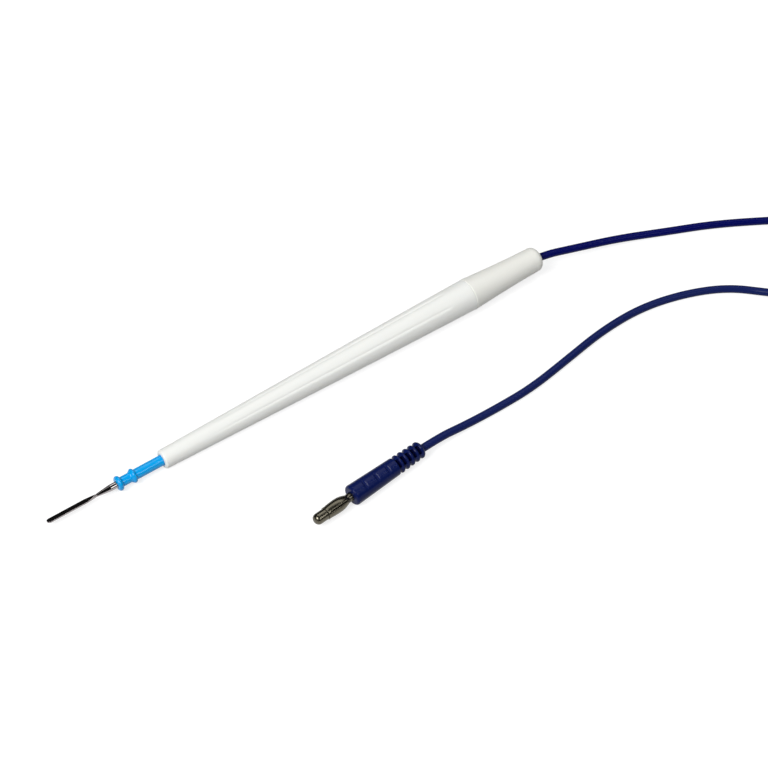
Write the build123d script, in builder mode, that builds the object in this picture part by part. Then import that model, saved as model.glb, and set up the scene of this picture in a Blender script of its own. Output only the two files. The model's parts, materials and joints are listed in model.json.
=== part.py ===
from build123d import *
import os
from math import atan2, cos, degrees, pi, radians, sin, tan

# Foot-switched electrosurgical pencil with its lead and 4 mm banana plug, in millimetres, +Z up.
# The pencil lies on the table z = 0 along X, blade towards -X, as it comes to rest.
# Stations along the pencil are measured from the rim of the handle, + towards the cable.

os.makedirs("parts", exist_ok=True)

# Electrode: a standard shank, turned down to a neck and pressed flat into a blade
shank_diameter = 2.36
electrode_length = 70.0
shank_shown = 2.5
neck_taper = 5.2
neck_diameter = 1.12
blade_length = 19.0
blade_width = 2.4
blade_thickness = 0.5
blade_flare = 4.8
blade_press = 4.0
blade_edge_round = 0.1
blade_root_share = 0.4
blade_root_overlap = 0.4
blade_roll = -19.0
shank_end_chamfer = 0.4

# Electrode hub: moulded sleeve with two finger rings
hub_shown = 17.7
hub_insert = 5.0
sleeve_diameter = 3.8
hub_neck_diameter = 3.45
ring_diameter = 5.4
second_ring_diameter = 5.25
ring_round = 0.9
ring_spacing = 5.45
ring_flare = 1.4
sleeve_chamfer = 0.3

# Handle barrel
barrel_length = 127.0
nose_diameter = 6.85
nose_round = 0.8
nose_slope = 0.020
seam_diameter = 11.7
seam_slope = 0.013
seam_edge = 0.15
hub_bore_diameter = 4.0
hub_bore_depth = 6.2
rim_chamfer = 0.15
land_start = 22.0
land_end = 118.0
land_depth = 0.35
land_runout = 5.0
land_angle = 46.0
land_roll = 14.0

# Rear cap
cap_length = 31.0
cap_step = 0.08
cap_edge_round = 0.4
cap_waist_station = 18.5
cap_waist_diameter = 9.68
cap_end_diameter = 9.08
cap_end_round = 2.3
cap_slope = -0.075
cap_waist_slope = -0.043
cap_end_slope = -0.018
spigot_length = 12.0
spigot_diameter = 8.4
spigot_chamfer = 0.4
cap_wall = 1.25
cap_shoulder = 18.0
mouth_diameter = 4.2
mouth_depth = 6.0

# Contact parts inside the handle
socket_diameter = 3.6
socket_station = 8.0
socket_bottom_gap = 1.4
socket_base = 3.0
socket_slit = 0.35
socket_slit_share = 0.63
tail_diameter = 2.2
tail_length = 7.0
cup_diameter = 1.2
cup_depth = 5.0
ring_wire = 0.5
ring_station = 3.0
ring_groove = 0.1
ring_opening = 50.0
carrier_diameter = 5.0
carrier_lip = 1.5
carrier_setback = 0.5
finger_space = 0.12

# Cable
cable_diameter = 2.85
core_diameter = 1.1
clamp_length = 6.0
clamp_wall = 1.3
clamp_chamfer = 0.3
cable_bare = 5.0
lead_start = 8.0
mouth_clearance = 0.06
lead_straight = 1.0
tail_straight = 6.0

# Coil of the cable
coil_centre = (193.7, -68.5)
coil_radius = 27.6
coil_layers = 4
coil_turns = 5
coil_pitch = 2.9
coil_corner = 2.2

# Plug: its pin points along the table, towards the blade's end
plug_tip = (-29.6, -51.1)
plug_heading = 6.2
plug_roll = 30.0
pin_length = 15.95
head_length = 4.8
head_diameter = 4.0
head_round = 1.7
pin_core_diameter = 2.5
seat_diameter = 3.5
seat_length = 1.1
collar_diameter = 3.1
collar_length = 1.4
anchor_diameter = 4.0
anchor_length = 5.0
anchor_recess = 0.8
pin_cup_diameter = 3.2
pin_cup_length = 5.5
cage_diameter = 4.86
cage_sheet = 0.25
cage_front_collar = 0.9
cage_rear_collar = 0.4
cage_belly_station = 5.2
cage_front_slope = 0.16
cage_rear_slope = -0.45
cage_slot = 0.6
cage_slot_margin = 1.0
cage_end_gap = 0.1
grip_length = 19.1
grip_diameter = 7.5
grip_rear_diameter = 6.5
grip_round = 0.9
scallop_radius = 1.0
scallop_depth = 0.5
scallop_start = 5.2
scallop_pitch = 5.05
scallop_count = 3
scallop_roll = 20.0
relief_rib_count = 5
relief_pitch = 2.25
relief_first = 1.75
relief_end = 0.85
relief_rib_diameter = 6.5
relief_rear_diameter = 6.05
relief_valley_diameter = 5.4
relief_crest = 0.4
relief_slot = 1.15
relief_slot_width = 2.6

# Fits: radial clearances
moving_gap = 0.03
seat_gap = 0.03

# Stations that follow from the sizes
handle_length = barrel_length + cap_length
blade_reach = hub_shown + shank_shown + neck_taper + blade_length
shank_front = -hub_shown - shank_shown
neck_station = shank_front - neck_taper
shank_end = electrode_length - blade_reach
shank_radius = shank_diameter / 2
nose_radius = nose_diameter / 2
seam_radius = seam_diameter / 2
cable_radius = cable_diameter / 2
socket_bottom = shank_end + socket_bottom_gap
socket_end = socket_bottom + socket_base
slit_length = socket_slit_share * (socket_bottom - socket_station)
carrier_station = socket_station + slit_length + carrier_setback
tail_end = socket_end + tail_length
carrier_end = socket_end + carrier_lip
carrier_bore_radius = carrier_diameter / 2 + seat_gap
spigot_station = barrel_length - spigot_length
clamp_stop = barrel_length + cap_shoulder - clamp_length
lead_station = handle_length - lead_start

# The barrel's outline: a cubic whose abscissa runs evenly from the nose to the seam
outline_length = barrel_length - nose_round
third = outline_length / 3
barrel_outline = Bezier(
    (nose_round, nose_radius),
    (nose_round + third, nose_radius + third * nose_slope),
    (barrel_length - third, seam_radius - third * seam_slope),
    (barrel_length, seam_radius),
    mode=Mode.PRIVATE,
)


def barrel_radius(station):
    """Radius of the barrel's outline at a station behind its nose."""
    return (barrel_outline @ ((station - nose_round) / outline_length)).Y


# The pencil rests on the nose and on the belly of the barrel: the steepest line between them
outline_steps = 200
outline_points = [barrel_outline @ (step / outline_steps) for step in range(1, outline_steps + 1)]
lie = max(atan2(point.Y - nose_radius, point.X - nose_round) for point in outline_points)
rim_x = (blade_reach - handle_length) * cos(lie) / 2
rim_z = nose_radius * cos(lie) - nose_round * sin(lie)

# In this plane a sketch's x runs along the pencil and its y away from the table.
# Rolls are turned about the pencil's axis, from the top towards -Y.
pencil = Plane(origin=(rim_x, 0, rim_z), x_dir=(cos(lie), 0, sin(lie)), z_dir=(0, -1, 0))
pencil_axis = Axis(pencil.origin, pencil.x_dir)
blade_plane = pencil.rotated((blade_roll, 0, 0))
land_plane = pencil.rotated((land_roll - land_angle / 2, 0, 0))

grip_radius = grip_diameter / 2
heading = radians(plug_heading)
plug = Plane(
    origin=(plug_tip[0], plug_tip[1], grip_radius),
    x_dir=(cos(heading), sin(heading), 0),
    z_dir=(sin(heading), -cos(heading), 0),
)
plug_axis = Axis(plug.origin, plug.x_dir)
relief_plane = plug.rotated((plug_roll, 0, 0))
scallop_plane = plug.rotated((scallop_roll, 0, 0))


def along(frame, station):
    """The point of a frame's axis at a station."""
    return frame.origin + frame.x_dir * station


# Handle barrel: long tapered moulding, with a shallow land sunk along its upper side
with BuildPart() as handle_barrel:
    with BuildSketch(pencil):
        with BuildLine():
            bore_radius = hub_bore_diameter / 2
            finger_radius = socket_diameter / 2 + ring_wire - ring_groove + finger_space
            spigot_bore = spigot_diameter / 2 + seat_gap
            Polyline(
                (barrel_length, seam_radius - seam_edge),
                (barrel_length, spigot_bore),
                (spigot_station, spigot_bore),
                (spigot_station, carrier_bore_radius),
                (carrier_station, carrier_bore_radius),
                (carrier_station, finger_radius),
                (hub_bore_depth, finger_radius),
                (hub_bore_depth, bore_radius),
                (rim_chamfer, bore_radius),
                (0, bore_radius + rim_chamfer),
                (0, nose_radius - nose_round),
            )
            RadiusArc((0, nose_radius - nose_round), (nose_round, nose_radius), nose_round)
            add(barrel_outline)
            Line((barrel_length, seam_radius), (barrel_length, seam_radius - seam_edge))
        make_face()
    revolve(axis=pencil_axis)
    rear_edge = (
        handle_barrel.edges().filter_by(GeomType.CIRCLE).sort_by(pencil_axis).group_by(SortBy.RADIUS)[-1]
    )
    fillet(rear_edge, radius=seam_edge)
    # The land's floor is straight, so it runs out where the barrel narrows to meet it,
    # and behind its deepest place it ramps up to the surface
    with BuildSketch(land_plane):
        with BuildLine():
            land_deepest = land_end - land_runout
            Polyline(
                (land_start, barrel_radius(land_start)),
                (land_deepest, barrel_radius(land_deepest) - land_depth),
                (land_end, barrel_radius(land_end)),
                (land_end, seam_diameter),
                (land_start, seam_diameter),
                close=True,
            )
        make_face()
    revolve(axis=pencil_axis, revolution_arc=land_angle, mode=Mode.SUBTRACT)
handle_barrel.part.label = "handle_barrel"
export_step(handle_barrel.part, "parts/handle_barrel.step")

# Rear cap: stands a little proud at the seam, tapers to a nearly straight end, bell-mouthed
with BuildPart() as rear_cap:
    with BuildSketch(pencil):
        with BuildLine():
            cap_radius = seam_radius + cap_step
            end_radius = cap_end_diameter / 2
            cable_bore = cable_radius + mouth_clearance
            mouth_radius = mouth_diameter / 2
            mouth_station = handle_length - mouth_depth
            shoulder_station = barrel_length + cap_shoulder
            spigot_radius = spigot_diameter / 2
            inner_radius = spigot_radius - cap_wall
            Polyline(
                (mouth_station, cable_bore),
                (shoulder_station, cable_bore),
                (shoulder_station, inner_radius),
                (spigot_station, inner_radius),
                (spigot_station, spigot_radius - spigot_chamfer),
                (spigot_station + spigot_chamfer, spigot_radius),
                (barrel_length, spigot_radius),
                (barrel_length, cap_radius - cap_edge_round),
            )
            RadiusArc(
                (barrel_length, cap_radius - cap_edge_round),
                (barrel_length + cap_edge_round, cap_radius),
                cap_edge_round,
            )
            Spline(
                (barrel_length + cap_edge_round, cap_radius),
                (barrel_length + cap_waist_station, cap_waist_diameter / 2),
                (handle_length - cap_end_round, end_radius),
                tangents=((1, cap_slope), (1, cap_waist_slope), (1, cap_end_slope)),
            )
            RadiusArc(
                (handle_length - cap_end_round, end_radius),
                (handle_length, end_radius - cap_end_round),
                cap_end_round,
            )
            Line((handle_length, end_radius - cap_end_round), (handle_length, mouth_radius))
            TangentArc(
                (mouth_station, cable_bore), (handle_length, mouth_radius), tangent=(1, 0)
            )
        make_face()
    revolve(axis=pencil_axis)
rear_cap.part.label = "rear_cap"
export_step(rear_cap.part, "parts/rear_cap.step")

# Blade: its plan outline, cut by the side view of the press that flattened it
with BuildPart() as blade_form:
    blade_root = neck_station + blade_root_overlap
    root_half = neck_diameter * blade_root_share
    tip_round = blade_width / 2
    blade_tip = neck_station - blade_length
    with BuildSketch(blade_plane.rotated((90, 0, 0))):
        with BuildLine():
            for side in (1, -1):
                Spline(
                    (blade_root, side * root_half),
                    (neck_station - blade_flare, side * blade_width / 2),
                    tangents=((-1, 0), (-1, 0)),
                )
                Line(
                    (neck_station - blade_flare, side * blade_width / 2),
                    (blade_tip + tip_round, side * blade_width / 2),
                )
            Line((blade_root, root_half), (blade_root, -root_half))
            ThreePointArc(
                (blade_tip + tip_round, blade_width / 2),
                (blade_tip, 0),
                (blade_tip + tip_round, -blade_width / 2),
            )
        make_face()
    extrude(amount=blade_width, both=True)
    with BuildSketch(blade_plane):
        with BuildLine():
            half = blade_thickness / 2
            Polyline(
                (blade_root, root_half),
                (neck_station, root_half),
                (neck_station - blade_press, half),
                (blade_tip, half),
                (blade_tip, -half),
                (neck_station - blade_press, -half),
                (neck_station, -root_half),
                (blade_root, -root_half),
                close=True,
            )
        make_face()
    extrude(amount=blade_width, both=True, mode=Mode.INTERSECT)
    # The press leaves no sharp edge round the blade
    flats = blade_form.faces().filter_by(GeomType.PLANE).sort_by(SortBy.AREA)[-2:]
    fillet(flats.edges().sort_by(pencil_axis)[:-2], radius=blade_edge_round)

# Electrode pin: one piece of steel, blade in front and round shank behind
with BuildPart() as electrode_pin:
    with BuildSketch(pencil):
        with BuildLine():
            Polyline(
                (neck_station, 0),
                (neck_station, neck_diameter / 2),
                (shank_front, shank_radius),
                (shank_end - shank_end_chamfer, shank_radius),
                (shank_end, shank_radius - shank_end_chamfer),
                (shank_end, 0),
                close=True,
            )
        make_face()
    revolve(axis=pencil_axis)
    add(blade_form.part)
electrode_pin.part.label = "electrode_pin"
export_step(electrode_pin.part, "parts/electrode_pin.step")

# Electrode hub: blue insulator with a rounded ring in front and a flared ring behind its neck
with BuildPart() as electrode_hub:
    with BuildSketch(pencil):
        with BuildLine():
            hub_bore = shank_radius + moving_gap
            sleeve_radius = sleeve_diameter / 2
            hub_neck = hub_neck_diameter / 2
            ring_centre = -hub_shown + ring_round
            ring_foot = ring_diameter / 2 - ring_round
            crest = ring_centre + ring_spacing
            crest_radius = second_ring_diameter / 2
            crest_round = crest_radius - sleeve_radius
            Line((-hub_shown, hub_bore), (-hub_shown, ring_foot))
            ThreePointArc(
                (-hub_shown, ring_foot),
                (ring_centre, ring_diameter / 2),
                (ring_centre + ring_round, ring_foot),
            )
            Polyline(
                (ring_centre + ring_round, ring_foot),
                (ring_centre + ring_round, hub_neck),
                (crest - ring_flare, hub_neck),
            )
            Spline(
                (crest - ring_flare, hub_neck),
                (crest, crest_radius),
                tangents=((1, 0), (1, 0)),
            )
            RadiusArc(
                (crest, crest_radius),
                (crest + crest_round, sleeve_radius),
                crest_round,
            )
            Polyline(
                (crest + crest_round, sleeve_radius),
                (hub_insert - sleeve_chamfer, sleeve_radius),
                (hub_insert, sleeve_radius - sleeve_chamfer),
                (hub_insert, hub_bore),
                (-hub_shown, hub_bore),
            )
        make_face()
    revolve(axis=pencil_axis)
electrode_hub.part.label = "electrode_hub"
export_step(electrode_hub.part, "parts/electrode_hub.step")

# Contact socket: brass tube slit into four fingers, with a groove for its ring and a solder tail
with BuildPart() as contact_socket:
    with BuildSketch(pencil):
        with BuildLine():
            socket_radius = socket_diameter / 2
            socket_bore = shank_radius + moving_gap
            groove_front = socket_station + ring_station - ring_wire / 2
            Polyline(
                (socket_station, socket_bore),
                (socket_station, socket_radius),
                (groove_front, socket_radius),
                (groove_front, socket_radius - ring_groove),
                (groove_front + ring_wire, socket_radius - ring_groove),
                (groove_front + ring_wire, socket_radius),
                (socket_end, socket_radius),
                (socket_end, tail_diameter / 2),
                (tail_end, tail_diameter / 2),
                (tail_end, cup_diameter / 2),
                (tail_end - cup_depth, cup_diameter / 2),
                (tail_end - cup_depth, 0),
                (socket_bottom, 0),
                (socket_bottom, socket_bore),
                close=True,
            )
        make_face()
    revolve(axis=pencil_axis)
    for turn in (45, 135):
        with BuildSketch(pencil.rotated((turn, 0, 0))):
            with Locations((socket_station + slit_length / 2, 0)):
                Rectangle(slit_length, socket_slit)
        extrude(amount=socket_diameter, both=True, mode=Mode.SUBTRACT)
contact_socket.part.label = "contact_socket"
export_step(contact_socket.part, "parts/contact_socket.step")

# Collet ring: open spring wire that closes the fingers on the shank
with BuildPart() as collet_ring:
    wire_radius = ring_wire / 2
    with BuildSketch(pencil.rotated((ring_opening / 2, 0, 0))):
        with Locations(
            (socket_station + ring_station, socket_diameter / 2 - ring_groove + wire_radius)
        ):
            Circle(wire_radius - moving_gap)
    revolve(axis=pencil_axis, revolution_arc=360 - ring_opening)
collet_ring.part.label = "collet_ring"
export_step(collet_ring.part, "parts/collet_ring.step")

# Socket carrier: insulating cup that centres the socket in the barrel
with BuildPart() as socket_carrier:
    with BuildSketch(pencil):
        with BuildLine():
            carrier_bore = socket_diameter / 2 + seat_gap
            lip_bore = tail_diameter / 2 + seat_gap
            Polyline(
                (carrier_station, carrier_bore),
                (carrier_station, carrier_diameter / 2),
                (carrier_end, carrier_diameter / 2),
                (carrier_end, lip_bore),
                (socket_end, lip_bore),
                (socket_end, carrier_bore),
                close=True,
            )
        make_face()
    revolve(axis=pencil_axis)
socket_carrier.part.label = "socket_carrier"
export_step(socket_carrier.part, "parts/socket_carrier.step")

# Bared conductor, from the bottom of the solder cup to the end of the cable's jacket
with BuildPart() as front_conductor:
    with BuildSketch(Plane(along(pencil, tail_end - cup_depth), z_dir=pencil.x_dir)):
        Circle(core_diameter / 2)
    extrude(amount=cup_depth + cable_bare)
front_conductor.part.label = "front_conductor"
export_step(front_conductor.part, "parts/front_conductor.step")

# The cable's stretch inside the handle
with BuildPart() as inner_cable:
    with BuildSketch(Plane(along(pencil, tail_end + cable_bare), z_dir=pencil.x_dir)):
        Circle(cable_radius)
    extrude(amount=lead_station - tail_end - cable_bare)
inner_cable.part.label = "inner_cable"
export_step(inner_cable.part, "parts/inner_cable.step")

# Cord clamp: crimped ring on the cable, stopped by the shoulder inside the cap
with BuildPart() as cord_clamp:
    with BuildSketch(Plane(along(pencil, clamp_stop), z_dir=pencil.x_dir)):
        Circle(cable_radius + clamp_wall)
        Circle(cable_radius + seat_gap, mode=Mode.SUBTRACT)
    extrude(amount=clamp_length)
    chamfer(
        cord_clamp.edges().filter_by(GeomType.CIRCLE).group_by(SortBy.RADIUS)[-1],
        length=clamp_chamfer,
    )
cord_clamp.part.label = "cord_clamp"
export_step(cord_clamp.part, "parts/cord_clamp.step")

# Plug pin: domed head, seat and waist for the spring cage, collar, anchor in the moulding, cup
anchor_front = pin_length + anchor_recess
anchor_rear = anchor_front + anchor_length
pin_end = anchor_rear + pin_cup_length
with BuildPart() as plug_pin:
    with BuildSketch(plug):
        with BuildLine():
            head_radius = head_diameter / 2
            core_radius = pin_core_diameter / 2
            collar_radius = collar_diameter / 2
            cup_radius = cup_diameter / 2
            flat_radius = head_radius - head_round
            Line((0, 0), (0, flat_radius))
            RadiusArc((0, flat_radius), (head_round, head_radius), head_round)
            Polyline(
                (head_round, head_radius),
                (head_length, head_radius),
                (head_length, seat_diameter / 2),
                (head_length + seat_length, seat_diameter / 2),
                (head_length + seat_length, core_radius),
                (pin_length - collar_length, core_radius),
                (pin_length - collar_length, collar_radius),
                (anchor_front, collar_radius),
                (anchor_front, anchor_diameter / 2),
                (anchor_rear, anchor_diameter / 2),
                (anchor_rear, pin_cup_diameter / 2),
                (pin_end, pin_cup_diameter / 2),
                (pin_end, cup_radius),
                (pin_end - cup_depth, cup_radius),
                (pin_end - cup_depth, 0),
                (0, 0),
            )
        make_face()
    revolve(axis=plug_axis)
plug_pin.part.label = "plug_pin"
export_step(plug_pin.part, "parts/plug_pin.step")

# Spring cage: thin sleeve between the head and the collar, slit into four bowed leaves
with BuildPart() as plug_spring_cage:
    with BuildSketch(plug):
        with BuildLine():
            cage_front = head_length + cage_end_gap
            cage_rear = pin_length - collar_length - cage_end_gap
            cage_front_bore = seat_diameter / 2 + moving_gap
            cage_rear_bore = core_radius + moving_gap
            cage_belly = cage_diameter / 2
            belly_station = head_length + cage_belly_station
            for sheet in (0, cage_sheet):
                Line(
                    (cage_front, cage_front_bore + sheet),
                    (cage_front + cage_front_collar, cage_front_bore + sheet),
                )
                Spline(
                    (cage_front + cage_front_collar, cage_front_bore + sheet),
                    (belly_station, cage_belly - cage_sheet + sheet),
                    (cage_rear - cage_rear_collar, cage_rear_bore + sheet),
                    tangents=((1, cage_front_slope), (1, 0), (1, cage_rear_slope)),
                )
                Line(
                    (cage_rear - cage_rear_collar, cage_rear_bore + sheet),
                    (cage_rear, cage_rear_bore + sheet),
                )
            for end, bore in ((cage_front, cage_front_bore), (cage_rear, cage_rear_bore)):
                Line((end, bore), (end, bore + cage_sheet))
        make_face()
    revolve(axis=plug_axis)
    slot_length = cage_rear - cage_front - 2 * cage_slot_margin
    for turn in (45, 135):
        with BuildSketch(plug.rotated((turn, 0, 0))):
            with Locations(((cage_front + cage_rear) / 2, 0)):
                SlotOverall(slot_length, cage_slot)
        extrude(amount=cage_diameter, both=True, mode=Mode.SUBTRACT)
plug_spring_cage.part.label = "plug_spring_cage"
export_step(plug_spring_cage.part, "parts/plug_spring_cage.step")

# Plug body: moulded grip with thumb scallops and a ribbed, slotted strain relief in one piece
grip_rear = pin_length + grip_length
relief_ribs = [grip_rear + relief_first + relief_pitch * rib for rib in range(relief_rib_count)]
plug_rear = relief_ribs[-1] + relief_end
cable_front = pin_end + cable_bare / 2
with BuildPart() as plug_body:
    with BuildSketch(plug):
        with BuildLine():
            valley = relief_valley_diameter / 2
            rib_taper = (relief_rib_diameter - relief_rear_diameter) / 2 / (relief_rib_count - 1)
            outline = []
            for rib, station in enumerate(relief_ribs):
                rib_radius = relief_rib_diameter / 2 - rib_taper * rib
                valley_front = station - relief_pitch / 2
                outline += [
                    (valley_front - relief_crest / 2, valley),
                    (valley_front + relief_crest / 2, valley),
                    (station - relief_crest / 2, rib_radius),
                    (station + relief_crest / 2, rib_radius),
                ]
            bore = [
                (plug_rear, cable_radius + seat_gap),
                (cable_front, cable_radius + seat_gap),
                (cable_front, core_diameter / 2 + seat_gap),
                (pin_end, core_diameter / 2 + seat_gap),
                (pin_end, pin_cup_diameter / 2 + seat_gap),
                (anchor_rear, pin_cup_diameter / 2 + seat_gap),
                (anchor_rear, anchor_diameter / 2 + seat_gap),
                (anchor_front, anchor_diameter / 2 + seat_gap),
                (anchor_front, collar_diameter / 2 + seat_gap),
                (pin_length, collar_diameter / 2 + seat_gap),
            ]
            Line((pin_length, collar_diameter / 2 + seat_gap), (pin_length, grip_radius - grip_round))
            RadiusArc(
                (pin_length, grip_radius - grip_round),
                (pin_length + grip_round, grip_radius),
                grip_round,
            )
            Polyline(
                (pin_length + grip_round, grip_radius),
                (grip_rear, grip_rear_diameter / 2),
                *outline,
                (plug_rear, valley),
                *bore,
            )
        make_face()
    revolve(axis=plug_axis)
    # Windows between the ribs open on the cable from two opposite sides
    with BuildSketch(relief_plane):
        for station in relief_ribs:
            with Locations((station - relief_pitch / 2, 0)):
                Rectangle(relief_slot, grip_diameter)
    extrude(amount=relief_slot_width / 2, both=True, mode=Mode.SUBTRACT)
    # Scallops for thumb and finger, on two opposite sides of the grip
    with BuildSketch(scallop_plane):
        for number in range(scallop_count):
            step = scallop_start + scallop_pitch * number
            surface = grip_radius - (grip_diameter - grip_rear_diameter) / 2 * step / grip_length
            for side in (1, -1):
                with Locations((pin_length + step, side * (surface + scallop_radius - scallop_depth))):
                    Circle(scallop_radius)
    extrude(amount=grip_diameter, both=True, mode=Mode.SUBTRACT)
plug_body.part.label = "plug_body"
export_step(plug_body.part, "parts/plug_body.step")

# Bared conductor inside the plug
with BuildPart() as rear_conductor:
    with BuildSketch(Plane(along(plug, pin_end - cup_depth), z_dir=plug.x_dir)):
        Circle(core_diameter / 2)
    extrude(amount=cable_front - pin_end + cup_depth)
rear_conductor.part.label = "rear_conductor"
export_step(rear_conductor.part, "parts/rear_conductor.step")

# Cable on the table: points of its two open stretches, chosen by hand
coil_top = cable_radius + coil_pitch * (coil_layers - 1)
lead_route = [
    along(pencil, lead_station),
    along(pencil, handle_length + lead_straight),
    (116.0, -2.5, 4.5),
    (133.2, -6.2, 2.4),
    (149.6, -12.5, 1.45),
    (166.4, -19.6, 1.43),
    (183.6, -29.3, 1.43),
    (199.1, -39.0, 1.43),
    (212.2, -48.0, 1.43),
]
tail_route = [
    (166.8, -74.7, coil_top),
    (164.2, -65.8, 5.6),
    (160.6, -56.8, 1.55),
    (150.5, -46.8, 1.43),
    (135.9, -40.3, 1.43),
    (119.0, -36.8, 1.43),
    (101.0, -37.6, 1.43),
    (83.0, -41.1, 1.43),
    (65.0, -44.4, 1.43),
    (50.0, -44.9, 1.43),
    (37.0, -45.0, 1.75),
    along(plug, plug_rear + tail_straight),
    along(plug, cable_front),
]


def corner_radii(route):
    """Radius at each corner: 0.45 of its shorter run over the tangent of half its turn."""
    points = [Vector(*point) for point in route]
    radii = []
    for before, corner, after in zip(points, points[1:], points[2:]):
        arriving = corner - before
        leaving = after - corner
        half_turn = radians(arriving.get_angle(leaving)) / 2
        radii.append(0.45 * min(arriving.length, leaving.length) / tan(half_turn))
    return radii


def report_cord(name, radii, path, tube):
    """Print a cord's radii and compare its volume with its section times its length."""
    section = pi * cable_radius**2
    print(name, "radii", [round(radius, 1) for radius in radii], "length", round(path.length, 1))
    print(name, "volume", round(tube.volume, 1), "section times length", round(section * path.length, 1))


cords = {}
for name, route in (("cord_lead", lead_route), ("cord_tail", tail_route)):
    radii = corner_radii(route)
    with BuildPart() as cord:
        with BuildLine() as centre_line:
            FilletPolyline(*route, radius=radii)
        path = centre_line.wire()
        with BuildSketch(Plane(path @ 0, z_dir=path % 0)):
            Circle(cable_radius)
        sweep()
    cord.part.label = name
    cords[name] = cord
    report_cord(name, radii, path, cord.part)
    export_step(cord.part, f"parts/{name}.step")

# Coil of the rest of the cable: one closed ring round its bundle of turns
with BuildPart() as cord_coil:
    bundle_height = coil_top + cable_radius
    bundle_width = coil_pitch * coil_turns + cable_diameter
    outer_radius = coil_radius + cable_radius
    with BuildSketch(Plane(origin=(*coil_centre, 0), x_dir=(1, 0, 0), z_dir=(0, -1, 0))):
        with Locations((outer_radius - bundle_width / 2, bundle_height / 2)):
            RectangleRounded(bundle_width, bundle_height, coil_corner)
    revolve(axis=Axis((*coil_centre, 0), (0, 0, 1)))
cord_coil.part.label = "cord_coil"
export_step(cord_coil.part, "parts/cord_coil.step")
print("lie", round(degrees(lie), 3), "rim", round(rim_x, 3), round(rim_z, 3))
print("lead starts at", along(pencil, lead_station), "exit", along(pencil, handle_length))
print("plug rear", along(plug, plug_rear), "cable front", along(plug, cable_front))
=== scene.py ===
"""Foot-switched electrosurgical pencil with its lead and banana plug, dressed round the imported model.

Shapes are worked out in millimetres about two axes, the pencil's and the plug's, and put into
meshes in metres. A station runs along an axis, and a roll turns about it from its upper side
towards the viewer's side.
"""

import json
import logging
import math
from dataclasses import dataclass
from enum import Enum
from functools import cache
from typing import Sequence

import bpy
import numpy as np
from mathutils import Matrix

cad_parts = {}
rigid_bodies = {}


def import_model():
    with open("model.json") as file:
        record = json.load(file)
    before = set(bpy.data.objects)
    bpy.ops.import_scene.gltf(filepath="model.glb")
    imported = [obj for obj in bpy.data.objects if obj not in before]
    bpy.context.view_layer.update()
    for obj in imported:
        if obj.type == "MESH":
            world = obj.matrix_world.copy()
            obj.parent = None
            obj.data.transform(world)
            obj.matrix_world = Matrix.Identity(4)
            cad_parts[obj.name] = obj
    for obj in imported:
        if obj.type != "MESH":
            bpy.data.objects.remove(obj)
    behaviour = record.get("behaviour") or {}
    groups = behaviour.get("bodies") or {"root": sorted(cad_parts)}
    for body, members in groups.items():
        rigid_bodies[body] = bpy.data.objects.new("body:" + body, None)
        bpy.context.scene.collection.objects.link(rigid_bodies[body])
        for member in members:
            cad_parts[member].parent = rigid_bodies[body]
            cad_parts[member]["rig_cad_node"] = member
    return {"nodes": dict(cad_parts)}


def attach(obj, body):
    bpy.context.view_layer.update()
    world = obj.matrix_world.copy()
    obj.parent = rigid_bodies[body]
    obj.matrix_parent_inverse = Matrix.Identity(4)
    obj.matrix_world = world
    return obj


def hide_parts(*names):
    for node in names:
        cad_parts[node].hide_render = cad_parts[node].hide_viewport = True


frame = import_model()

LOG = logging.getLogger("electrosurgical_pencil")
MM = 0.001
Colour = tuple[float, float, float]
Point = tuple[float, float, float]


def srgb(red: int, green: int, blue: int) -> Colour:
    """Turn a display colour into linear light, by the display's own curve.

    Args:
        red: its red, from 0 to 255.
        green: its green.
        blue: its blue.

    Returns:
        The colour as shares of light from 0 to 1.
    """
    levels = np.array([red, green, blue]) / 255
    linear = np.where(levels <= 0.04045, levels / 12.92, ((levels + 0.055) / 1.055) ** 2.4)
    return tuple(float(level) for level in linear)


def smoothstep(value: np.ndarray) -> np.ndarray:
    """Ease from 0 to 1 as 3v squared minus 2v cubed, with v held between 0 and 1."""
    held = np.clip(value, 0.0, 1.0)
    return held * held * (3.0 - 2.0 * held)


# Axes


@dataclass(frozen=True)
class Spindle:
    """An axis that pieces are shaped about.

    Args:
        origin: where station 0 lies, in millimetres.
        heading: the axis's turn in plan from +X, in degrees.
        pitch: its rise above the table, in degrees.
    """

    origin: Point
    heading: float = 0.0
    pitch: float = 0.0

    def directions(self) -> np.ndarray:
        """Work out the axis's three directions from its heading and pitch.

        Returns:
            Unit vectors along it, to its upper side and to the viewer's side, one to a row.
        """
        turn, rise = math.radians(self.heading), math.radians(self.pitch)
        along = (math.cos(rise) * math.cos(turn), math.cos(rise) * math.sin(turn), math.sin(rise))
        side = (math.sin(turn), -math.cos(turn), 0.0)
        return np.array([along, np.cross(side, along), side])

    def place(self, station: np.ndarray, upward: np.ndarray, sideways: np.ndarray) -> np.ndarray:
        """Put offsets from the axis into the world.

        Args:
            station: distances along the axis, in millimetres.
            upward: distances towards its upper side.
            sideways: distances towards the viewer's side.

        Returns:
            Points in metres, with the coordinates on a last axis of three.
        """
        parts = np.stack(np.broadcast_arrays(station, upward, sideways), axis=-1)
        return (np.array(self.origin) + parts @ self.directions()) * MM

    def turned(self, station: np.ndarray, radius: np.ndarray, roll: np.ndarray) -> np.ndarray:
        """Put polar offsets into the world: upward is radius times the roll's cosine, sideways its sine."""
        return self.place(station, radius * np.cos(roll), radius * np.sin(roll))


PENCIL = Spindle(origin=(-56.787, 0.0, 3.407), pitch=1.203)
PLUG = Spindle(origin=(-29.6, -51.1, 3.75), heading=6.2)


# Outlines

# Shares of a run or of a round's length that rounded() keeps to
LONGEST_CUT = 0.48
HOLD_OF_CUT = 0.6
HOLD_OF_RUN = 0.2


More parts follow.
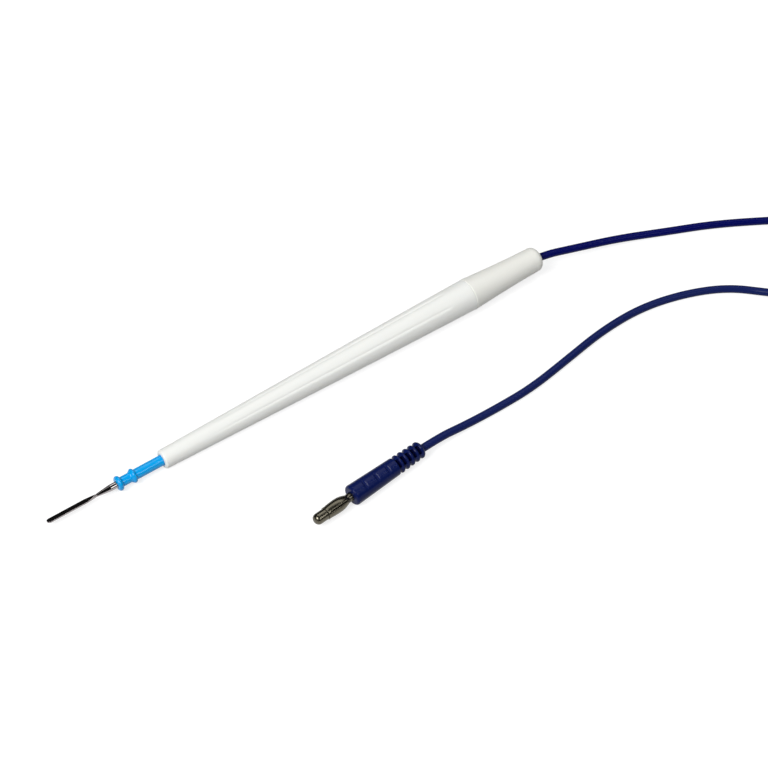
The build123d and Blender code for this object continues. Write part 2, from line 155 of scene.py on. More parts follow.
def arc(
    centre: tuple[float, float], radius: float, start: float, end: float, steps: int
) -> np.ndarray:
    """Draw part of a circle: its centre plus the radius times the angle's cosine and sine.

    Args:
        centre: station and distance from the axis, in millimetres.
        radius: the circle's radius.
        start: the first angle in degrees, from the axis's direction.
        end: the last angle.
        steps: how many pieces the arc has.

    Returns:
        The arc's points, one to a row.
    """
    angle = np.radians(np.linspace(start, end, steps + 1))
    return np.stack([centre[0] + radius * np.cos(angle), centre[1] + radius * np.sin(angle)], axis=1)


def rounded(corners: Sequence[Point], closed: bool = True, steps: int = 6) -> np.ndarray:
    """Draw an outline through corners, each with its own round.

    A round of radius r replaces its corner by the arc that touches both runs. The arc starts r times
    the tangent of half the turn before the corner, but never more than LONGEST_CUT of a run. Beside
    each arc lies one more point, HOLD_OF_CUT of that distance further on and at most HOLD_OF_RUN of
    the run, which keeps the shading of long walls flat. A point of the arc is its start times the
    sine of the angle left, plus its end times the sine of the angle gone, over the whole's sine.

    Args:
        corners: station, distance from the axis and round of each corner, in millimetres.
        closed: whether the last corner runs on to the first.
        steps: pieces of each arc.

    Returns:
        The outline's points, one to a row.
    """
    places = np.array([corner[:2] for corner in corners], float)
    points: list[np.ndarray] = []
    for index, (place, corner) in enumerate(zip(places, corners)):
        inner = closed or 0 < index < len(corners) - 1
        if not inner or corner[2] <= 0:
            points.append(place[None])
            continue
        before = places[index - 1] - place
        after = places[(index + 1) % len(places)] - place
        reach_before, reach_after = np.linalg.norm(before), np.linalg.norm(after)
        before, after = before / reach_before, after / reach_after
        half = math.acos(float(np.clip(before @ after, -1.0, 1.0))) / 2
        cut = min(corner[2] / math.tan(half), LONGEST_CUT * reach_before, LONGEST_CUT * reach_after)
        middle = (before + after) / np.linalg.norm(before + after)
        centre = place + middle * cut / math.cos(half)
        start, end = place + before * cut - centre, place + after * cut - centre
        sweep = np.linspace(0.0, 1.0, steps + 1)[:, None]
        spread = math.pi - 2 * half
        bend = (np.sin((1 - sweep) * spread) * start + np.sin(sweep * spread) * end) / math.sin(spread)
        hold = min(HOLD_OF_CUT * cut, HOLD_OF_RUN * reach_before, HOLD_OF_RUN * reach_after)
        points += [
            (place + before * (cut + hold))[None],
            centre + bend,
            (place + after * (cut + hold))[None],
        ]
    return np.concatenate(points)


def eased(places: Sequence[tuple[float, float]], slopes: Sequence[float], at: np.ndarray) -> np.ndarray:
    """Follow a smooth line through places with a slope given at each.

    Between two neighbours it is the one cubic that has both their values and both their slopes.

    Args:
        places: station and value of each place, in order along the axis.
        slopes: rise of the value for each millimetre, at each place.
        at: stations to work it out at.

    Returns:
        The value at each station.
    """
    stations, values = np.array(places, float).T
    slope = np.array(slopes, float)
    index = np.clip(np.searchsorted(stations, at) - 1, 0, len(stations) - 2)
    length = stations[index + 1] - stations[index]
    share = np.clip((at - stations[index]) / length, 0.0, 1.0)
    rest = 1.0 - share
    ends = values[index] * (1 + 2 * share) * rest**2 + values[index + 1] * (1 + 2 * rest) * share**2
    return ends + length * share * rest * (slope[index] * rest - slope[index + 1] * share)


def as_corners(stations: np.ndarray, radii: np.ndarray) -> list[Point]:
    """Give smooth points of an outline as corners without a round."""
    return [(float(station), float(radius), 0.0) for station, radius in zip(stations, radii)]


def runs(*spans: tuple[float, float, int]) -> np.ndarray:
    """Join even runs of stations, each given by its first station, its last and their number."""
    return np.concatenate([np.linspace(first, last, count) for first, last, count in spans])


def refined(points: np.ndarray, spacing: float) -> np.ndarray:
    """Divide an outline's longer pieces evenly.

    Args:
        points: the outline's points, one to a row.
        spacing: longest piece that may be left.

    Returns:
        The outline's points with the new ones among them.
    """
    lengths = np.linalg.norm(np.diff(points, axis=0), axis=1)
    pieces = []
    for start, end, length in zip(points, points[1:], lengths):
        share = np.linspace(0.0, 1.0, max(math.ceil(length / spacing), 1), endpoint=False)
        pieces.append(start + (end - start) * share[:, None])
    return np.concatenate([*pieces, points[-1:]])


# Meshes


def new_piece(name: str, vertices: np.ndarray, faces: Sequence[Sequence[int]]) -> bpy.types.Object:
    """Make a smooth mesh object at the origin, with its faces turned outwards.

    Faces point outwards where the volume, a sixth of the sum of each triangle's corner . (corner x
    corner), is positive; otherwise every face is read backwards.

    Args:
        name: the piece's name.
        vertices: its points in metres, one to a row.
        faces: the numbers of each face's three or four points.

    Returns:
        The object, linked to the scene.
    """
    quads = np.array([face if len(face) == 4 else (*face, face[2]) for face in faces])
    corners = vertices[quads]
    centre = vertices.mean(axis=0)
    a, b, c, d = (corners[:, index] - centre for index in range(4))
    volume = (np.cross(a, b) * c).sum() + (np.cross(a, c) * d).sum()
    if volume < 0:
        faces = [tuple(reversed(face)) for face in faces]
    mesh = bpy.data.meshes.new(name)
    mesh.from_pydata(vertices.tolist(), [], [list(face) for face in faces])
    mesh.polygons.foreach_set("use_smooth", np.ones(len(mesh.polygons), bool))
    mesh.update()
    piece = bpy.data.objects.new(name, mesh)
    bpy.context.scene.collection.objects.link(piece)
    LOG.info("%s: %d vertices, %d faces", name, len(vertices), len(faces))
    return piece


def lathe_faces(rows: int, columns: int, closed: bool) -> list[tuple[int, ...]]:
    """Lay quads over a grid of rows by columns whose columns go all the way round.

    Args:
        rows: points along the outline.
        columns: points round the axis.
        closed: whether the last row joins the first.

    Returns:
        The numbers of each quad's points, row after row.
    """
    row, column = np.meshgrid(np.arange(rows if closed else rows - 1), np.arange(columns), indexing="ij")
    below, beside = (row + 1) % rows, (column + 1) % columns
    here, there = row * columns, below * columns
    quads = np.stack([here + column, here + beside, there + beside, there + column], axis=-1)
    return [tuple(quad) for quad in quads.reshape(-1, 4).tolist()]


def lathe_piece(name: str, points: np.ndarray, closed: bool) -> bpy.types.Object:
    """Make a piece from points on a grid of outline by roll.

    An open outline starts and ends on the axis: its first and last rows become single points, each
    joined to the next row by triangles.

    Args:
        name: the piece's name.
        points: its points in metres, with the outline on the first axis and the roll on the second.
        closed: whether the outline's last row joins its first.

    Returns:
        The object, linked to the scene.
    """
    rows, columns = points.shape[:2]
    if closed:
        return new_piece(name, points.reshape(-1, 3), lathe_faces(rows, columns, True))
    middle = points[1:-1].reshape(-1, 3)
    vertices = np.concatenate([middle, points[0].mean(axis=0)[None], points[-1].mean(axis=0)[None]])
    column = np.arange(columns)
    beside = (column + 1) % columns
    start, end = np.full(columns, len(middle)), (rows - 3) * columns
    caps = np.concatenate([
        np.stack([start, beside, column], axis=1),
        np.stack([start + 1, end + column, end + beside], axis=1),
    ])
    faces = lathe_faces(rows - 2, columns, False) + [tuple(face) for face in caps.tolist()]
    return new_piece(name, vertices, faces)


def rolls(count: int) -> np.ndarray:
    """Return evenly spread rolls, all the way round, in radians."""
    return np.linspace(0.0, 2 * np.pi, count, endpoint=False)


# Finishes


class Shader:
    """A node material in the making, with its surface shader already on the output."""

    def __init__(self, name: str) -> None:
        """Start a material with a plain surface.

        Args:
            name: the slot of the record that it finishes.
        """
        self.material = bpy.data.materials.new(f"{name}_finish")
        self.material.use_nodes = True
        self.tree = self.material.node_tree
        self.tree.nodes.clear()
        self.surface = self.node("ShaderNodeBsdfPrincipled")
        output = self.node("ShaderNodeOutputMaterial")
        self.join(self.surface.outputs["BSDF"], output.inputs["Surface"])

    def node(self, kind: str, **settings: object) -> bpy.types.Node:
        """Add a node.

        Args:
            kind: Blender's name for that kind of node.
            settings: the node's own properties and their values.

        Returns:
            The node.
        """
        node = self.tree.nodes.new(kind)
        for name, value in settings.items():
            setattr(node, name, value)
        return node

    def join(self, source: bpy.types.NodeSocket, target: bpy.types.NodeSocket) -> None:
        """Link one socket to another."""
        self.tree.links.new(source, target)

    def fix(self, node: bpy.types.Node, **values: object) -> bpy.types.Node:
        """Set a node's inputs.

        Args:
            node: the node.
            values: the inputs' values, where an underscore in a name stands for a space.

        Returns:
            The same node.
        """
        for name, value in values.items():
            node.inputs[name.replace("_", " ")].default_value = value
        return node

    def space(self, grain: Point, spindle: Spindle) -> bpy.types.NodeSocket:
        """Measure Object coordinates along a spindle.

        Args:
            grain: the unit along the spindle, across it and upwards, in millimetres.
            spindle: the axis that X follows.

        Returns:
            The coordinates, as a socket.
        """
        coordinates = self.node("ShaderNodeTexCoord")
        mapping = self.node("ShaderNodeMapping", vector_type="TEXTURE")
        self.fix(
            mapping,
            Location=[value * MM for value in spindle.origin],
            Rotation=(0.0, math.radians(-spindle.pitch), math.radians(spindle.heading)),
            Scale=[value * MM for value in grain],
        )
        self.join(coordinates.outputs["Object"], mapping.inputs["Vector"])
        return mapping.outputs["Vector"]

    def noise(
        self, space: bpy.types.NodeSocket, detail: float = 3.0, roughness: float = 0.5
    ) -> bpy.types.NodeSocket:
        """Make a noise with one feature to each unit of its space.

        Args:
            space: the coordinates that it lies in.
            detail: how many finer layers are added.
            roughness: strength of each layer beside the one before.

        Returns:
            The noise, about 0 to 1, as a socket.
        """
        noise = self.fix(self.node("ShaderNodeTexNoise"), Scale=1.0, Detail=detail, Roughness=roughness)
        self.join(space, noise.inputs["Vector"])
        return noise.outputs["Fac"]

    def ranged(self, value: bpy.types.NodeSocket, low: float, high: float) -> bpy.types.NodeSocket:
        """Spread a noise's middle half over a range.

        Args:
            value: the noise, whose values mostly lie between a quarter and three quarters.
            low: the range's lowest value.
            high: its highest value.

        Returns:
            The spread value, as a socket.
        """
        spread = self.fix(
            self.node("ShaderNodeMapRange"), From_Min=0.25, From_Max=0.75, To_Min=low, To_Max=high
        )
        self.join(value, spread.inputs["Value"])
        return spread.outputs["Result"]

    def blend(
        self, share: bpy.types.NodeSocket, first: Colour | bpy.types.NodeSocket, second: Colour
    ) -> bpy.types.NodeSocket:
        """Mix two colours.

        Args:
            share: how much there is of the second, from 0 to 1.
            first: the first colour, or a socket that gives it.
            second: the second colour.

        Returns:
            The mixed colour, as a socket.
        """
        mix = self.node("ShaderNodeMix", data_type="RGBA")
        if isinstance(first, bpy.types.NodeSocket):
            self.join(first, mix.inputs["A"])
        else:
            mix.inputs["A"].default_value = (*first, 1.0)
        mix.inputs["B"].default_value = (*second, 1.0)
        self.join(share, mix.inputs["Factor"])
        return mix.outputs["Result"]

    def relief(self, height: bpy.types.NodeSocket, depth: float) -> None:
        """Raise the surface, over any earlier relief.

        Args:
            height: height of each place, from 0 to 1.
            depth: what a height of 1 is, in millimetres.
        """
        bump = self.fix(self.node("ShaderNodeBump"), Strength=1.0, Distance=depth * MM)
        self.join(height, bump.inputs["Height"])
        earlier = self.surface.inputs["Normal"]
        if earlier.is_linked:
            self.join(earlier.links[0].from_socket, bump.inputs["Normal"])
        self.join(bump.outputs["Normal"], earlier)


@dataclass(frozen=True)
class Moulded:
    """Moulded plastic with the mould's fine grain, a faint cloud of colour and a soft gloss.

    Args:
        name: the record's slot for it, or a place in that slot.
        colour: its main colour.
        cloud: the colour that it drifts towards.
        roughness: lowest and highest roughness.
        grain: size of the mould's grain, in millimetres.
        depth: height of the grain, in millimetres.
        sink: height of the slow waves that shrinkage leaves, in millimetres.
        glow: share of light that goes into the plastic and comes out again near by.
        shine: strength of its reflections, where plain plastic is 0.5.
        drift: size of the cloud and the slow waves along, across and upwards, in millimetres.
        patches: size of the patches of roughness, in the same order.
        glow_reach: how far the light goes on inside, in millimetres.
        glow_tint: that reach's share in red, green and blue.
    """

    name: str
    colour: Colour
    cloud: Colour
    roughness: tuple[float, float]
    grain: float
    depth: float
    sink: float = 0.0
    glow: float = 0.0
    shine: float = 0.5
    drift: Point = (14.0, 5.0, 5.0)
    patches: Point = (1.6, 1.1, 1.1)
    glow_reach: float = 0.6
    glow_tint: Colour = (1.0, 0.9, 0.8)

    def material(self, spindle: Spindle) -> bpy.types.Material:
        """Build the material.

        Args:
            spindle: the axis that its patterns are measured along.

        Returns:
            The material.
        """
        shader = Shader(self.name)
        fine = shader.noise(shader.space((self.grain,) * 3, spindle))
        slow = shader.noise(shader.space(self.drift, spindle), detail=2.0)
        shader.join(shader.blend(slow, self.colour, self.cloud), shader.surface.inputs["Base Color"])
        mottle = shader.noise(shader.space(self.patches, spindle), detail=4.0)
        shader.join(shader.ranged(mottle, *self.roughness), shader.surface.inputs["Roughness"])
        shader.relief(fine, self.depth)
        if self.sink:
            shader.relief(slow, self.sink)
        shader.fix(shader.surface, Specular_IOR_Level=self.shine)
        if self.glow:
            shader.fix(
                shader.surface,
                Subsurface_Weight=self.glow,
                Subsurface_Radius=self.glow_tint,
                Subsurface_Scale=self.glow_reach * MM,
            )
        return shader.material


@dataclass(frozen=True)
class Metal:
    """Bright metal with fine marks left by drawing, polishing or turning.

    Args:
        name: the record's slot for it.
        colour: its colour face on.
        stain: the colour of its duller places.
        roughness: lowest and highest roughness.
        marks: size of the marks along the axis, across it and upwards, in millimetres.
        depth: depth of the marks, in millimetres.
        patches: size of the duller places, in the same order.
    """

    name: str
    colour: Colour
    stain: Colour
    roughness: tuple[float, float]
    marks: Point
    depth: float
    patches: Point = (2.2, 1.2, 1.2)

    def material(self, spindle: Spindle) -> bpy.types.Material:
        """Build the material.

        Args:
            spindle: the axis that its marks are laid along.

        Returns:
            The material.
        """
        shader = Shader(self.name)
        scratches = shader.noise(shader.space(self.marks, spindle), detail=4.0, roughness=0.6)
        patches = shader.noise(shader.space(self.patches, spindle), detail=5.0, roughness=0.6)
        shader.join(shader.blend(patches, self.colour, self.stain), shader.surface.inputs["Base Color"])
        shader.join(shader.ranged(scratches, *self.roughness), shader.surface.inputs["Roughness"])
        shader.relief(scratches, self.depth)
        shader.fix(shader.surface, Metallic=1.0)
        return shader.material


@dataclass(frozen=True)
class Jacket:
    """Extruded cable jacket: satin, with faint lines along it, small patches and a greyer far stretch of
    painted sheen.

    Args:
        name: the record's slot for it.
        colour: its main colour.
        cloud: the colour that it drifts towards.
        painted_sheen: its greyer colour on the far stretch next to the plug, a painted sheen in place of a
            broad reflection.
        painted_sheen_edges: where the painted sheen starts and where it is full, as places along Y in
            millimetres.
        roughness: lowest and highest roughness.
        lines: lines round the jacket.
        depth: height of the lines and of the patches, in millimetres.
        shine: strength of its reflections, where plain plastic is 0.5.
        drift: size of the cloud of colour, in millimetres.
        patches: size of the patches, in millimetres.
    """

    name: str
    colour: Colour
    cloud: Colour
    painted_sheen: Colour
    painted_sheen_edges: tuple[float, float]
    roughness: tuple[float, float]
    lines: float
    depth: float
    shine: float = 0.5
    drift: float = 9.0
    patches: float = 0.9

    def material(self, spindle: Spindle) -> bpy.types.Material:
        """Build the material: its lines follow the cable's own map, whose V runs round it.

        The colour goes over to the painted sheen by the share of the way that Y is between
        painted_sheen_edges.

        Args:
            spindle: the axis that its cloud and patches are measured along.

        Returns:
            The material.
        """
        shader = Shader(self.name)
        slow = shader.noise(shader.space((self.drift,) * 3, spindle), detail=3.0)
        unsheened = shader.blend(slow, self.colour, self.cloud)
        parts = shader.node("ShaderNodeSeparateXYZ")
        shader.join(shader.space((1.0, 1.0, 1.0), spindle), parts.inputs["Vector"])
        start, full = self.painted_sheen_edges
        share = shader.fix(shader.node("ShaderNodeMapRange"), From_Min=start, From_Max=full)
        shader.join(parts.outputs["Y"], share.inputs["Value"])
        # Painted sheen: the colour greys towards the plug in place of a reflection of the lamps
        sheened = shader.blend(share.outputs["Result"], unsheened, self.painted_sheen)
        shader.join(sheened, shader.surface.inputs["Base Color"])
        mottle = shader.noise(shader.space((self.patches,) * 3, spindle), detail=4.0)
        shader.join(shader.ranged(mottle, *self.roughness), shader.surface.inputs["Roughness"])
        coordinates = shader.node("ShaderNodeTexCoord")
        mapping = shader.fix(shader.node("ShaderNodeMapping"), Scale=(self.lines, self.lines, 1.0))
        shader.join(coordinates.outputs["UV"], mapping.inputs["Vector"])
        shader.relief(shader.noise(mapping.outputs["Vector"], detail=2.0), self.depth)
        shader.relief(mottle, self.depth)
        shader.fix(shader.surface, Specular_IOR_Level=self.shine)
        return shader.material


class Finish(Enum):
    """The finishes: one for each material slot of the record, and one of painted shade for the plug's
    windows.
    """

    HANDLE_WHITE = Moulded(
        "handle_white",
        colour=srgb(245, 246, 242),
        cloud=srgb(242, 243, 239),
        roughness=(0.40, 0.52),
        grain=0.16,
        depth=0.0035,
        sink=0.004,
        glow=0.12,
    )
    CAP_WHITE = Moulded(
        "cap_white",
        colour=srgb(242, 242, 236),
        cloud=srgb(239, 239, 232),
        roughness=(0.46, 0.58),
        grain=0.2,
        depth=0.005,
        sink=0.004,
        glow=0.12,
    )
    HUB_BLUE = Moulded(
        "hub_blue",
        colour=srgb(6, 166, 238),
        cloud=srgb(3, 159, 231),
        roughness=(0.16, 0.24),
        grain=0.25,
        depth=0.002,
        sink=0.003,
        glow=0.05,
        shine=0.3,
    )
    PLUG_BLUE = Moulded(
        "plug_blue",
        colour=srgb(16, 29, 84),
        cloud=srgb(13, 24, 76),
        roughness=(0.16, 0.26),
        grain=0.14,
        depth=0.002,
        sink=0.003,
        shine=0.09,
    )
    # Painted shade: a darker, duller navy on the windows' floors stands in for the shade deep inside them
    WINDOW_PAINTED_SHADE = Moulded(
        "plug_window_painted_shade",
        colour=srgb(7, 12, 60),
        cloud=srgb(5, 9, 52),
        roughness=(0.5, 0.6),
        grain=0.14,
        depth=0.004,
        shine=0.05,
    )
    CARRIER_PLASTIC = Moulded(
        "carrier_plastic",
        colour=srgb(198, 194, 182),
        cloud=srgb(190, 186, 174),
        roughness=(0.4, 0.55),
        grain=0.2,
        depth=0.004,
    )
    CABLE_BLUE = Jacket(
        "cable_blue",
        colour=srgb(0, 4, 90),
        cloud=srgb(1, 8, 84),
        # Painted sheen: a greyer navy near the plug stands in for a broad reflection of the lamps
        painted_sheen=srgb(20, 32, 88),
        painted_sheen_edges=(-28.0, -36.0),
        roughness=(0.24, 0.34),
        lines=24.0,
        depth=0.002,
        shine=0.07,
    )
    BLADE_STEEL = Metal(
        "blade_steel",
        colour=(0.38, 0.36, 0.35),
        stain=(0.31, 0.28, 0.29),
        roughness=(0.02, 0.05),
        marks=(2.4, 0.08, 0.08),
        depth=0.0002,
    )
    PIN_NICKEL = Metal(
        "pin_nickel",
        colour=(0.14, 0.13, 0.098),
        stain=(0.10, 0.09, 0.068),
        roughness=(0.22, 0.30),
        marks=(0.05, 1.5, 1.5),
        depth=0.0005,
    )
    SPRING_NICKEL = Metal(
        "spring_nickel",
        colour=(0.14, 0.13, 0.098),
        stain=(0.10, 0.09, 0.068),
        roughness=(0.22, 0.30),
        marks=(1.8, 0.09, 0.09),
        depth=0.0005,
    )
    SOCKET_BRASS = Metal(
        "socket_brass",
        colour=(0.75, 0.56, 0.26),
        stain=(0.60, 0.42, 0.18),
        roughness=(0.2, 0.34),
        marks=(0.05, 1.4, 1.4),
        depth=0.002,
    )
    CLAMP_BRASS = Metal(
        "clamp_brass",
        colour=(0.72, 0.54, 0.27),
        stain=(0.56, 0.40, 0.19),
        roughness=(0.22, 0.38),
        marks=(0.06, 1.4, 1.4),
        depth=0.002,
    )
    RING_STEEL = Metal(
        "ring_steel",
        colour=(0.60, 0.59, 0.57),
        stain=(0.48, 0.47, 0.45),
        roughness=(0.18, 0.3),
        marks=(0.3, 0.3, 0.3),
        depth=0.001,
    )
    COPPER_STRAND = Metal(
        "copper_strand",
        colour=(0.80, 0.42, 0.26),
        stain=(0.64, 0.30, 0.17),
        roughness=(0.22, 0.4),
        marks=(1.2, 0.12, 0.12),
        depth=0.01,
    )

    @cache
    def made(self, spindle: Spindle) -> bpy.types.Material:
        """Make this finish's material on its first use, and keep it for the next."""
        return self.value.material(spindle)

    def dress(self, piece: bpy.types.Object, spindle: Spindle) -> None:
        """Give a piece this finish, and name the record's slot for it.

        Args:
            piece: a new piece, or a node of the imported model.
            spindle: the axis that the finish is laid along.
        """
        material = self.made(spindle)
        if piece.material_slots:
            for slot in piece.material_slots:
                slot.material = material
        else:
            piece.data.materials.append(material)

    def dress_more(self, piece: bpy.types.Object, spindle: Spindle, chosen: np.ndarray) -> None:
        """Give this finish to the faces of a lathe piece whose first point is chosen.

        Args:
            piece: a piece with a finish already.
            spindle: the axis that the finish is laid along.
            chosen: for each point of the piece, in order, whether its face has this finish.
        """
        piece.data.materials.append(self.made(spindle))
        first = np.zeros(len(piece.data.polygons), int)
        corners = np.zeros(len(piece.data.loops), int)
        piece.data.polygons.foreach_get("loop_start", first)
        piece.data.loops.foreach_get("vertex_index", corners)
        piece.data.polygons.foreach_set("material_index", chosen.ravel()[corners[first]].astype(int))


# The pencil


@dataclass(frozen=True)
class Handle:
    """The moulded barrel with its sunk land, and the cap behind the seam.

    Sizes are in millimetres, angles in degrees and slopes in millimetres of radius to a millimetre
    of length. Stations start at the barrel's front rim. The land is a shallow floor along the upper
    side that ends in a ramp behind, with a fine groove along its edges.
    """

    barrel_length: float = 127.0
    nose_radius: float = 3.425
    nose_round: float = 0.8
    nose_slope: float = 0.020
    seam_radius: float = 5.85
    seam_slope: float = 0.013
    seam_edge: float = 0.15
    bore_radius: float = 2.0
    bore_depth: float = 6.2
    rim_round: float = 0.15
    land_start: float = 22.0
    land_end: float = 118.0
    land_depth: float = 0.12
    land_runout: float = 5.0
    land_angle: float = 58.0
    land_roll: float = 16.5
    land_wall: float = 1.0
    groove_start: float = 15.0
    groove_full: float = 28.0
    groove_runout: float = 2.0
    groove_depth: float = 0.10
    groove_spread: float = 0.30
    socket_space_radius: float = 2.32
    carrier_radius: float = 2.53
    carrier_station: float = 20.5
    spigot_station: float = 115.0
    spigot_radius: float = 4.2
    seat_gap: float = 0.03
    cap_length: float = 31.0
    cap_step: float = 0.08
    cap_edge_round: float = 0.4
    cap_waist_station: float = 18.5
    cap_waist_radius: float = 4.84
    cap_end_radius: float = 4.54
    cap_end_round: float = 2.3
    cap_slope: float = -0.075
    cap_waist_slope: float = -0.043
    cap_end_slope: float = -0.018
    cap_wall: float = 1.25
    cap_shoulder: float = 18.0
    mouth_radius: float = 2.1
    mouth_depth: float = 6.0
    cable_bore: float = 1.485
    # Small rounds of the inner edges
    fine_round: float = 0.05
    inner_round: float = 0.1
    seam_inner_round: float = 0.08
    shoulder_round: float = 0.15
    mouth_round: float = 0.2
    spigot_lead: float = 0.4
    # Spacing of rows and columns, and how near the surface a point counts as on it
    skin: float = 0.05
    ramp_lead: float = 5.5
    row_gap: float = 0.5
    seam_margin: float = 0.6
    fine_roll: float = 0.6
    fine_margin: float = 5.0
    coarse_roll: float = 3.0
    coarse_count: int = 98
    cap_columns: int = 160

    def radius(self, station: np.ndarray) -> np.ndarray:
        """Return the barrel's radius: a cubic through the nose and the seam with a slope at each."""
        ends = ((self.nose_round, self.nose_radius), (self.barrel_length, self.seam_radius))
        return eased(ends, (self.nose_slope, self.seam_slope), station)

    def land(self, station: np.ndarray) -> np.ndarray:
        """Work out the land's depth: the radius less a straight floor, then a ramp back to the surface.

        Args:
            station: stations along the barrel.

        Returns:
            The depth at each station, and nothing outside the land.
        """
        deepest = self.land_end - self.land_runout
        places = np.array([self.land_start, deepest, self.land_end])
        floors = self.radius(places) - np.array([0.0, self.land_depth, 0.0])
        floor = np.interp(station, places, floors)
        inside = (station > self.land_start) & (station < self.land_end)
        return np.where(inside, np.maximum(self.radius(station) - floor, 0.0), 0.0)

    def land_rolls(self) -> np.ndarray:
        """Space the barrel's columns: finely over the land and its walls, and coarsely elsewhere.

        Returns:
            The columns' rolls, in radians.
        """
        half = self.land_angle / 2 + self.fine_margin
        fine = np.arange(self.land_roll - half, self.land_roll + half, self.fine_roll)
        first, last = fine[-1] + self.coarse_roll, fine[0] + 360.0 - self.coarse_roll
        return np.radians(np.concatenate([fine, np.linspace(first, last, self.coarse_count)]))

    def outer_stations(self) -> np.ndarray:
        """Space the barrel's outer rows: more closely over the ramp behind the land.

        Returns:
            The rows' stations, from behind the nose's round to just before the seam.
        """
        ramp_start, ramp_end = self.land_end - self.ramp_lead, self.land_end + self.row_gap
        return runs(
            (self.nose_round + self.row_gap, ramp_start - self.row_gap, 90),
            (ramp_start, ramp_end, 14),
            (ramp_end + 2 * self.row_gap, self.barrel_length - self.seam_margin, 7),
        )

    def barrel(self) -> bpy.types.Object:
        """Make the barrel: an outline turned round the axis, less the land's depth inside its edges.

        Outside each edge the depth eases from full to nothing over the land's wall. Along the edges
        runs a fine groove: its depth falls off as e to the power of minus half the square of the
        distance over its spread. It deepens from groove_start to groove_full and runs out over
        groove_runout before the land's end.

        Returns:
            The barrel.
        """
        outer = self.outer_stations()
        space, nose = self.spigot_radius + self.seat_gap, self.nose_round
        outline = rounded([
            (0.0, self.bore_radius, self.rim_round),
            *as_corners(*arc((nose, self.radius(nose) - nose), nose, 180, 92, 10).T),
            *as_corners(outer, self.radius(outer)),
            (self.barrel_length, self.seam_radius, self.seam_edge),
            (self.barrel_length, space, self.seam_inner_round),
            (self.spigot_station, space, self.inner_round),
            (self.spigot_station, self.carrier_radius, self.inner_round),
            (self.carrier_station, self.carrier_radius, self.fine_round),
            (self.carrier_station, self.socket_space_radius, self.fine_round),
            (self.bore_depth, self.socket_space_radius, self.fine_round),
            (self.bore_depth, self.bore_radius, self.fine_round),
        ])
        station, radius = outline[:, :1], outline[:, 1:]
        roll = self.land_rolls()[None]
        turn = np.abs(np.mod(roll - math.radians(self.land_roll) + np.pi, 2 * np.pi) - np.pi)
        from_edge = (math.radians(self.land_angle / 2) - turn) * radius
        outside = radius > self.radius(station) - self.skin
        groove = self.groove_depth * np.exp(-0.5 * (from_edge / self.groove_spread) ** 2)
        groove = groove * smoothstep((station - self.groove_start) / (self.groove_full - self.groove_start))
        groove = groove * smoothstep((self.land_end - station) / self.groove_runout)
        sunk = self.land(station) * smoothstep(from_edge / self.land_wall + 1.0)
        sunk = np.where(outside, sunk + groove, 0.0)
        return lathe_piece("barrel", PENCIL.turned(station, radius - sunk, roll), closed=True)

    def cap(self) -> bpy.types.Object:
        """Make the cap: proud at the seam, waisted towards its end, with a bell mouth for the cable.

        The bell's radius grows from the bore to the mouth with the square of the way along it.

        Returns:
            The cap.
        """
        start, end = self.barrel_length, self.barrel_length + self.cap_length
        stations = np.linspace(start + self.row_gap, end - self.cap_end_round - self.row_gap, 40)
        profile = eased(
            (
                (start + self.cap_edge_round, self.seam_radius + self.cap_step),
                (start + self.cap_waist_station, self.cap_waist_radius),
                (end - self.cap_end_round, self.cap_end_radius),
            ),
            (self.cap_slope, self.cap_waist_slope, self.cap_end_slope),
            stations,
        )
        mouth = end - self.mouth_depth
        mouth_stations = np.linspace(end - self.row_gap, mouth, 14)
        flare = (mouth_stations - mouth) / self.mouth_depth
        bell = self.cable_bore + (self.mouth_radius - self.cable_bore) * flare**2
        inner, end_round = self.spigot_radius - self.cap_wall, self.cap_end_round
        edge, edge_radius = self.cap_edge_round, self.seam_radius + self.cap_step
        outline = rounded([
            (self.spigot_station, inner, self.shoulder_round),
            (self.spigot_station, self.spigot_radius, self.spigot_lead),
            (start, self.spigot_radius, self.inner_round),
            *as_corners(*arc((start + edge, edge_radius - edge), edge, 180, 90, 8).T),
            *as_corners(stations, profile),
            *as_corners(*arc((end - end_round, self.cap_end_radius - end_round), end_round, 88, 0, 18).T),
            (end, self.mouth_radius, self.mouth_round),
            *as_corners(mouth_stations, bell),
            (start + self.cap_shoulder, self.cable_bore, self.inner_round),
            (start + self.cap_shoulder, inner, self.shoulder_round),
        ])
        points = PENCIL.turned(outline[:, :1], outline[:, 1:], rolls(self.cap_columns)[None])
        return lathe_piece("cap", points, closed=True)

    def build(self) -> None:
        """Make and dress the barrel and the cap."""
        barrel, cap = self.barrel(), self.cap()
        Finish.HANDLE_WHITE.dress(barrel, PENCIL)
        Finish.CAP_WHITE.dress(cap, PENCIL)
        for piece, node in ((barrel, "handle_barrel"), (cap, "rear_cap")):
            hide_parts(node)
            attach(piece, "handle")


